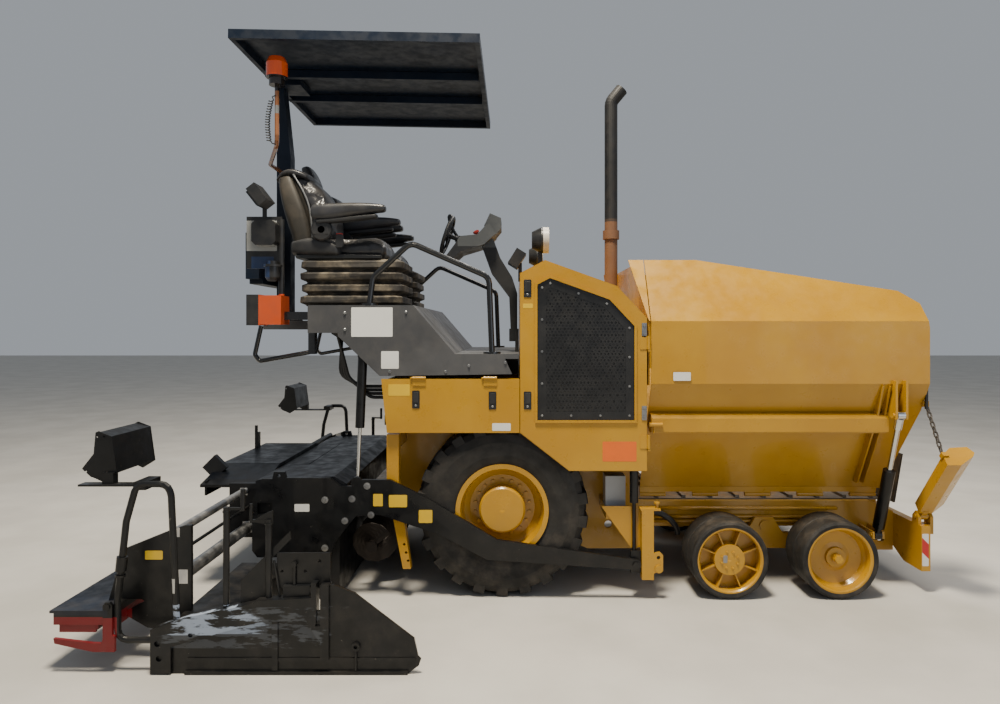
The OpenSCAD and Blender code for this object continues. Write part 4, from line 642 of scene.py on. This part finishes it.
for which, (seat_x, seat_y) in zip(("near", "far"), seats_at):
    dx = seat_x - seats_at[0][0]
    seat_pad = make_piece("seat_cushion_" + which, *lofted(shifted([
        (-1.165, 2.155, 0.205, 0.045), (-1.08, 2.150, 0.222, 0.050), (-0.95, 2.148, 0.226, 0.052),
        (-0.82, 2.155, 0.224, 0.055), (-0.755, 2.145, 0.212, 0.046)], dx), seat_y, 90, 3.4, nose=0.03),
        worn_vinyl, "tractor", "worn_vinyl", smooth=True)
    back_pad = make_piece("seat_back_" + which, *lofted(shifted([
        (-1.150, 2.215, 0.200, 0.050), (-1.160, 2.300, 0.212, 0.064), (-1.185, 2.410, 0.214, 0.066),
        (-1.245, 2.510, 0.205, 0.060), (-1.320, 2.600, 0.178, 0.044)], dx), seat_y, 24, 3.0, nose=0.02),
        worn_vinyl, "tractor", "worn_vinyl", smooth=True)
    for pad in (seat_pad, back_pad):
        stuffed(pad, cap=0.024)
    shell = make_piece("seat_shell_" + which, *lofted(shifted([
        (-1.255, 2.130, 0.200, 0.062), (-1.275, 2.240, 0.232, 0.078), (-1.320, 2.400, 0.238, 0.084),
        (-1.365, 2.530, 0.225, 0.070), (-1.390, 2.610, 0.200, 0.055)], dx), seat_y, 16, 4.0, nose=0.015),
        side_vinyl, "tractor", "worn_vinyl", smooth=True)
    sub_divided(shell)
    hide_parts("seats")
    saddle = make_piece("seat_saddle_" + which, *lofted(shifted([
        (-1.452, 2.612, 0.150, 0.018), (-1.405, 2.640, 0.205, 0.030), (-1.335, 2.650, 0.212, 0.030),
        (-1.255, 2.618, 0.196, 0.024)], dx), seat_y, 80, 3.0, nose=0.014),
        worn_vinyl, "tractor", "worn_vinyl", smooth=True)
    sub_divided(saddle)
    for s in (-1, 1):
        edge = seat_y + s * 0.232
        make_piece("seat_piping_%s_%d" % (which, s + 1), *swept(shifted([
            (-1.330, edge - s * 0.030, 2.625), (-1.262, edge, 2.520), (-1.222, edge, 2.420),
            (-1.205, edge, 2.310), (-1.200, edge - s * 0.004, 2.210)], dx), 0.006),
            piping_grey, "tractor", "worn_vinyl", smooth=True)
        rest_y = seat_y + s * 0.278
        arm = make_piece("armrest_%s_%d" % (which, s + 1), *lofted(shifted([
            (-1.175, 2.372, 0.034, 0.048), (-1.10, 2.372, 0.042, 0.052), (-0.95, 2.386, 0.045, 0.046),
            (-0.82, 2.395, 0.044, 0.034), (-0.745, 2.394, 0.038, 0.024)], dx), rest_y, 90, 2.6, nose=0.018),
            worn_vinyl, "tractor", "worn_vinyl", smooth=True)
        sub_divided(arm)
        under = make_piece("armrest_base_%s_%d" % (which, s + 1), *lofted(shifted([
            (-1.150, 2.312, 0.026, 0.014), (-1.00, 2.322, 0.034, 0.018), (-0.84, 2.342, 0.034, 0.018),
            (-0.79, 2.345, 0.030, 0.014)], dx), rest_y, 90, 3.0, nose=0.012),
            moulded_black, "tractor", "dark_plastic", smooth=True)
        sub_divided(under)
        make_piece("armrest_hinge_%s_%d" % (which, s + 1), *turned(
            [(0.0, 0.0), (0.060, 0.0), (0.068, 0.010), (0.068, 0.036), (0.060, 0.046), (0.022, 0.050),
             (0.0, 0.050)],
            (-1.128 + dx, rest_y - s * 0.034, 2.262), (0, s, 0), 40, closed=True),
            moulded_black, "tractor", "dark_plastic")
        make_piece("armrest_post_%s_%d" % (which, s + 1), *prism(
            [(-1.182 + dx, 2.23), (-1.078 + dx, 2.23), (-1.096 + dx, 2.35), (-1.178 + dx, 2.36)],
            rest_y - 0.016, rest_y + 0.016), moulded_black, "tractor", "dark_plastic", bevel=0.006)
    hips = make_piece("seat_hip_cover_" + which, *lofted(shifted([
        (-1.330, 2.160, 0.225, 0.052), (-1.22, 2.165, 0.262, 0.070), (-1.10, 2.160, 0.268, 0.062),
        (-1.04, 2.140, 0.262, 0.040)], dx), seat_y, 90, 4.5, nose=0.02),
        moulded_black, "tractor", "dark_plastic", smooth=True)
    sub_divided(hips)
    make_piece("seat_frame_" + which, *prism(
        [(-1.305 + dx, 2.088), (-0.775 + dx, 2.088), (-0.765 + dx, 2.110), (-1.10 + dx, 2.118),
         (-1.315 + dx, 2.112)], seat_y - 0.225, seat_y + 0.225),
        black_steel, "tractor", "black_paint", bevel=0.004)
    make_piece("belt_buckle_" + which, *prism(rounded(-1.024 + dx, 2.195, 0.046, 0.085, 0.010),
                                             seat_y - 0.262, seat_y - 0.238),
               moulded_black, "tractor", "dark_plastic", bevel=0.004)
    make_piece("belt_button_" + which, *prism(rounded(-1.024 + dx, 2.237, 0.040, 0.014, 0.005),
                                             seat_y - 0.258, seat_y - 0.242),
               belt_red, "tractor", "dark_plastic", bevel=0.002)
headrest = make_piece("headrest_far", *lofted([
    (-1.475, 2.705, 0.105, 0.040), (-1.500, 2.780, 0.120, 0.048), (-1.530, 2.850, 0.118, 0.046),
    (-1.548, 2.890, 0.105, 0.036)], seats_at[1][1], 18, 3.2, nose=0.015),
    worn_vinyl, "tractor", "worn_vinyl", smooth=True)
sub_divided(headrest)

# Bellows: each is moulded in one piece of rubber with four pleats, and clamped between the deck and
# the seat's frame. The pleats have gone a little uneven from years of springing.
pleats, pleat_pitch, bellows_foot = 4, 0.0742, 1.788
bellows_long, bellows_wide, bellows_corner, neck = 0.650, 0.500, 0.055, 0.034
# Each row: share of the pleat's height, how far the wall stands in from the rim
pleat = ((0.0, neck), (0.10, 0.030), (0.24, 0.004), (0.30, 0.0), (0.74, 0.0), (0.80, 0.004), (0.94, 0.030))
for which, (seat_x, seat_y) in zip(("near", "far"), seats_at):
    levels = [(bellows_foot + (i + share) * pleat_pitch, inset)
              for i in range(pleats) for share, inset in pleat]
    levels.append((bellows_foot + pleats * pleat_pitch, neck))
    points, faces = [], []
    for z, inset in levels:
        outline = rounded(seat_x, seat_y, bellows_long - 2 * inset, bellows_wide - 2 * inset,
                          bellows_corner - inset * 0.5, 5)
        ring = len(outline)
        for x, y in outline:
            sway = 0.004 * math.sin(9.0 * x + 40.0 * z) + 0.0035 * math.sin(11.0 * y + 31.0 * z)
            sag = -0.004 * math.cos(5.5 * (x - seat_x)) if inset < 0.03 else 0.0
            points.append((x + axle_x + sway * 0.6, y + sway, z + sag))
    for i in range(len(levels) - 1):
        faces += [[i * ring + k, i * ring + (k + 1) % ring, (i + 1) * ring + (k + 1) % ring,
                   (i + 1) * ring + k] for k in range(ring)]
    faces += [list(range(ring)), list(range(len(points) - 1, len(points) - 1 - ring, -1))]
    bellows = make_piece("bellows_" + which, points, faces, bellows_rubber, "tractor", "black_rubber")
    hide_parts("seat_bellows")

# Deck, rails, mast and canopy: welded steel sheet and tube under charcoal textured enamel, greyed by
# sun and by boot dust on the deck. The canopy and its mast are black enamel with a blue tint that is a
# painted reflection of the sky, the rails glossy from hands, and hex bolts hold the deck's side plates.
charcoal_enamel = weathered("charcoal_enamel", "#3a3b3e", "#46474a", "#77716a", rough=(0.42, 0.7),
                            dust_amount=0.35, dust_top=2.6, chips=0.25)
# Black enamel tinted blue: the blue is a painted reflection of the sky
canopy_enamel_sky_tint = weathered("canopy_enamel_sky_tint", "#0a1626", "#0e1b2d", "#3a3d40", rough=(0.35, 0.6),
                          dust_amount=0.1, shine=0.3)
rail_enamel = weathered("rail_enamel", "#101113", "#191a1c", "#55514c", rough=(0.16, 0.3),
                        dust_amount=0.1, coat=0.3)
dress(charcoal_enamel, "platform")
dress(canopy_enamel_sky_tint, "canopy_roof", "canopy_mast")
dress(rail_enamel, "handrails")
hex_heads("deck_bolts", [((x, side * door_face, z), (0, side, 0)) for _, side in sides for x, z in (
    (-0.95, 1.74), (-0.95, 1.64), (-0.58, 1.745), (-0.20, 1.42), (0.02, 1.44), (-0.68, 1.385),
    (-0.34, 1.385))], 0.008, "tractor")

# Driving console: moulded housings bolted to the deck before the near seat, grey above and black below,
# with a red stop button and a joystick in a rubber boot
console_grey = weathered("console_grey", "#1a1b1d", "#222326", "#5f5a53", rough=(0.4, 0.6), dust_amount=0.3,
                         dust_top=4.0, parts=[((-0.300, -0.520, 2.190), (0.020, -0.150, 2.480), "#4b4e50")])
dress(console_grey, "console")
make_piece("stop_button", *turned(
    [(0.012, 0), (0.012, 0.016), (0.020, 0.018), (0.021, 0.030), (0.015, 0.034)],
    (-0.170, -0.425, 2.268), (-0.45, 0, 0.9), 24), belt_red, "tractor", "dark_plastic")
joystick_y = -0.245
make_piece("joystick_boot", *turned(
    [(0.040, 0), (0.040, 0.006), (0.033, 0.012), (0.037, 0.020), (0.027, 0.028), (0.030, 0.036),
     (0.019, 0.044), (0.021, 0.052), (0.010, 0.060)],
    (-0.295, joystick_y, 2.235), (-0.5, 0, 0.86), 28), bellows_rubber, "tractor", "dark_plastic")
make_piece("joystick", *swept(
    [(-0.325, joystick_y, 2.29), (-0.352, joystick_y, 2.335), (-0.366, joystick_y, 2.385)], 0.011),
    moulded_black, "tractor", "dark_plastic", smooth=True)
make_piece("joystick_knob", *turned(
    [(0.0, 0.0), (0.016, 0.006), (0.021, 0.022), (0.019, 0.048), (0.010, 0.060), (0.0, 0.062)],
    (-0.362, joystick_y, 2.378), (-0.2, 0, 1), 24, closed=True),
    moulded_black, "tractor", "dark_plastic", smooth=True)

# Exhaust stack: steel tube and straps in black heat paint, burnt to bare tan steel below the first
# strap, where the gas is hottest
strap_foot = 2.400
stack_steel = weathered("stack_steel", "#0c0d0f", "#14161a", "#7a5a3e", rough=(0.45, 0.7), dust_amount=0.25,
                        dust_top=3.4, parts=[((None, None, None), (None, None, strap_foot), "#6d4c33"),
                                             ((None, None, strap_foot - 0.010),
                                              (None, None, strap_foot + 0.010), "#3a2e26")])
dress(stack_steel, "exhaust_stack")

# Beacon: a glossy amber lens on a moulded black base, on a galvanised pole gone rusty with a collar
# still bright
base_top, base_foot = 3.205, 3.120
beacon_finish = weathered("beacon_finish", "#d9480a", "#e8641a", "#a06038", rough=(0.10, 0.2),
                          dust_amount=0.1, dust_top=6.0, coat=0.4,
                          parts=[((None, None, None), (None, None, base_top), "#17181a"),
                                 ((None, None, None), (None, None, base_foot), "#8a5a3a"),
                                 ((None, None, 2.98), (None, None, 3.03), "#7d7f80")])
dress(beacon_finish, "beacon")

# Its coiled supply cable, black and rubber-sheathed, hangs beside the pole from the base of the lamp
# and goes back to the pole at its bend
coil_top, coil_foot, coil_turns, coil_radius = (-1.428, -0.770, 3.060), (-1.440, -0.775, 2.800), 16, 0.013
coil_steps, coil_bow, cable_radius = 12, 0.016, 0.0035
coil = []
for k in range(coil_turns * coil_steps + 1):
    share = k / (coil_turns * coil_steps)
    angle = 2 * math.pi * k / coil_steps
    bow = -coil_bow * math.sin(math.pi * share)
    coil.append((coil_top[0] + (coil_foot[0] - coil_top[0]) * share + bow + coil_radius * math.cos(angle),
                 coil_top[1] + (coil_foot[1] - coil_top[1]) * share + coil_radius * math.sin(angle),
                 coil_top[2] + (coil_foot[2] - coil_top[2]) * share))
make_piece("beacon_cable", *swept([(-1.404, -0.762, 3.090), (-1.424, -0.766, 3.080)] + coil
                                 + [(-1.425, -0.770, 2.792), (-1.404, -0.762, 2.786)],
                                 cable_radius, 6, smooth=1),
           moulded_black, "tractor", "black_rubber", smooth=True)

# Lamps and the rear rack: sheet housings and brackets in black enamel, with a grey plastic tank, a blue
# filter bowl, an orange reflector on each light box and pale glasses in the front lamps
lamp_finish = weathered("lamp_finish", "#161719", "#202123", "#5c5750", rough=(0.3, 0.5), dust_amount=0.35,
                        dust_top=5.0,
                        parts=[((-1.60, -0.80, 2.13), (-1.41, -0.55, 2.32), "#8b8d8c"),
                               ((-1.57, -0.80, 1.95), (-1.43, -0.55, 2.095), "#1c2f52"),
                               ((0.262, None, 2.10), (0.40, None, 2.36), "#bdb9ae"),
                               ((-1.505, -0.79, 1.66), (-1.36, -0.60, 1.86), "#b8481a"),
                               ((-1.505, 0.60, 1.66), (-1.36, 0.79, 1.86), "#b8481a")])
dress(lamp_finish, "lamps")

# Screed and its arms: heavy welded plate in black enamel, scuffed by asphalt and grey with road dust.
# The deck's top and the walkways are tinted blue, a painted reflection of the sky, the foot brackets red,
# the guide tubes ground bright, and the end gates are scraped to pale blue-grey where they run along kerbs.
tube_boxes = [((-1.634, None, 0.607), (-1.588, None, 0.653)),
              ((-1.618, None, 0.375), (-1.548, None, 0.445))]
bright_tubes = [(low, high, "#b9babb") for low, high in tube_boxes]
screed_dust, road_chips, scraped_grey, scraped_blue = "#4a453f", "#57524c", "#3c4046", "#8f9bae"
gate_y = 1.74
black_enamel = weathered("black_enamel", "#040508", "#0a0c0f", screed_dust, rough=(0.26, 0.5),
                         dust_amount=0.26, dust_top=0.8, chips=0.4, chip_colour=road_chips, coat=0.1,
                         shine=0.35)
# Above 0.69 m the screed's top is bluer: a painted reflection of the sky
deck_enamel = weathered("deck_enamel", "#040508", "#090b0f", screed_dust, rough=(0.3, 0.55),
                        dust_amount=0.22, dust_top=0.9, chips=0.4, chip_colour=road_chips, coat=0.05,
                        shine=0.3, metal_parts=tube_boxes,
                        parts=[((None, None, 0.690), (None, None, None), "#05080f")] + bright_tubes)
# The walkway strip from 0.27 m to 0.30 m is bluer: a painted reflection of the sky
gate_enamel = weathered("gate_enamel", "#060709", "#0e1013", "#4f4a44", rough=(0.28, 0.55),
                        dust_amount=0.3, dust_top=0.9, chips=0.55, chip_colour="#625d56", coat=0.05,
                        shine=0.35, metal_parts=tube_boxes,
                        parts=[((-2.20, None, 0.270), (-1.865, None, 0.300), "#0f1522"),
                               ((-2.14, None, 0.090), (-1.825, None, 0.262), "#6d1419")] + bright_tubes,
                        scraped=[((-1.66, None, 0.120), (-0.62, -gate_y, 0.320), scraped_grey),
                                 ((-1.66, gate_y, 0.120), (-0.62, None, 0.320), scraped_grey),
                                 ((-1.64, None, 0.188), (-0.95, -gate_y, 0.320), scraped_blue),
                                 ((-1.64, gate_y, 0.188), (-0.95, None, 0.320), scraped_blue)])
dress(black_enamel, "tow_arms", "tow_point_gear", *pair("lift_barrel"), *pair("wing_barrel"))
dress(deck_enamel, "screed_main")
dress(gate_enamel, *pair("extension"))

# Their signs and bolts: blank yellow and white foils, and low-headed plate bolts that the end gate
# passes when its extension is drawn in
arm_face, gate_face = 0.865, 1.620
low_head = 0.0028
# Each row: place ahead of the rear axle, height, width, height of the sign
arm_signs = ((-0.750, 0.607, 0.058, 0.074), (-0.629, 0.601, 0.110, 0.074), (-0.462, 0.508, 0.082, 0.078))
arm_bolts = ((-1.071, 0.608), (-0.907, 0.614), (-0.950, 0.481), (-1.071, 0.317), (-0.792, 0.517),
             (-0.816, 0.692))
for name, side in sides:
    for k, (x, z, across, high) in enumerate(arm_signs):
        foil("arm_sign_%d_%s" % (k, name), x, z, across, high, foil_yellow, "screed", side, arm_face)
    foil("arm_plate_sign_" + name, -1.210, 0.560, 0.090, 0.046, foil_white, "screed", side, arm_face)
    foil("gate_sign_" + name, -1.716, 0.517, 0.088, 0.044, foil_yellow, "extension_" + name, side, gate_face)
    hex_heads("arm_bolts_" + name, [((x, side * arm_face, z), (0, side, 0)) for x, z in arm_bolts],
              0.017, "screed", thick=low_head)

# Frame below the hopper: on each side three steel pipes in the frame's enamel, laid along its web,
# and a rubber hose that bends down behind the first bogie wheel
pipe_y, pipe_radius, hose_radius = 0.443, 0.011, 0.019
pipe_heights = (0.4505, 0.3965, 0.3660)
pipe_bends = (0.98, 1.40, 1.90, 2.22)
hose_line = [(0.96, 0.455, 0.430), (1.02, 0.462, 0.428), (1.09, 0.464, 0.395), (1.14, 0.462, 0.340),
             (1.16, 0.455, 0.285)]
for name, side in sides:
    for k, z in enumerate(pipe_heights):
        make_piece("frame_pipe_%d_%s" % (k, name),
                   *swept([(x, side * pipe_y, z) for x in pipe_bends], pipe_radius, 12, smooth=1),
                   yellow_enamel, "tractor", "yellow_paint", smooth=True)
    make_piece("frame_hose_" + name,
               *swept([(x, side * y, z) for x, y, z in hose_line], hose_radius, 14, smooth=8),
               moulded_black, "tractor", "black_rubber", smooth=True)

# Tyres: vulcanised black rubber with a moulded tread, matt and brown-grey with road dust. The hoses
# and the apron that closes the front of the hopper are black rubber too, smoother and cleaner.
tyre_rubber = weathered("tyre_rubber", "#111010", "#1a1918", "#5c5348", rough=(0.62, 0.85),
                        dust_amount=0.6, dust_top=1.3, relief=0.0006)
dress(tyre_rubber, *pair("tyre_rear"), *pair("tyre_1"), *pair("tyre_2"))
dress(moulded_black, "hoses", "front_apron")

# Hubs of the first bogie wheels: a turned cover in the frame's enamel, held by a ring of bolts, with a
# small zinc-plated plate on it
hub_face, hub_x, hub_z, bolt_circle, hub_bolts = 0.8372, 1.387, 0.235, 0.052, 8
for name, side in sides:
    ring = []
    for k in range(hub_bolts):
        angle = math.radians(360 / hub_bolts * k + 20)
        ring.append(((hub_x + bolt_circle * math.cos(angle), side * hub_face,
                      hub_z + bolt_circle * math.sin(angle)), (0, side, 0)))
    hex_heads("hub_bolts_1_" + name, ring, 0.007, "wheel_1_" + name, yellow_enamel, "yellow_paint", 0.006)
    foil("hub_plate_1_" + name, 1.360, 0.240, 0.026, 0.046, zinc_steel, "wheel_1_" + name, side, hub_face,
         "bare_steel")

# Running gear and conveyor: ground and chromed piston rods, sharp in reflection, and bare steel on the
# conveyor, the chains and the engine, dulled by dust and wear
ground_chrome = weathered("ground_chrome", "#c9cbcc", "#b9bbbd", "#8d8578", rough=(0.12, 0.22),
                          metallic=1.0, dust_amount=0.2)
dress(ground_chrome, *pair("wing_rod"), *pair("lift_rod"))
bare_steel = weathered("bare_steel", "#6d6862", "#57524c", "#5a4a3a", rough=(0.4, 0.65), metallic=0.9,
                       dust_amount=0.5)
dress(bare_steel, "conveyor", *pair("chain"), "engine_block")
# Augers: cast flights with hard facing, browned and dark with old asphalt
auger_steel = weathered("auger_steel", "#26211e", "#1b1816", "#3d342c", rough=(0.4, 0.65), metallic=0.6,
                        dust_amount=0.3, dust_top=0.9)
dress(auger_steel, *pair("auger"))
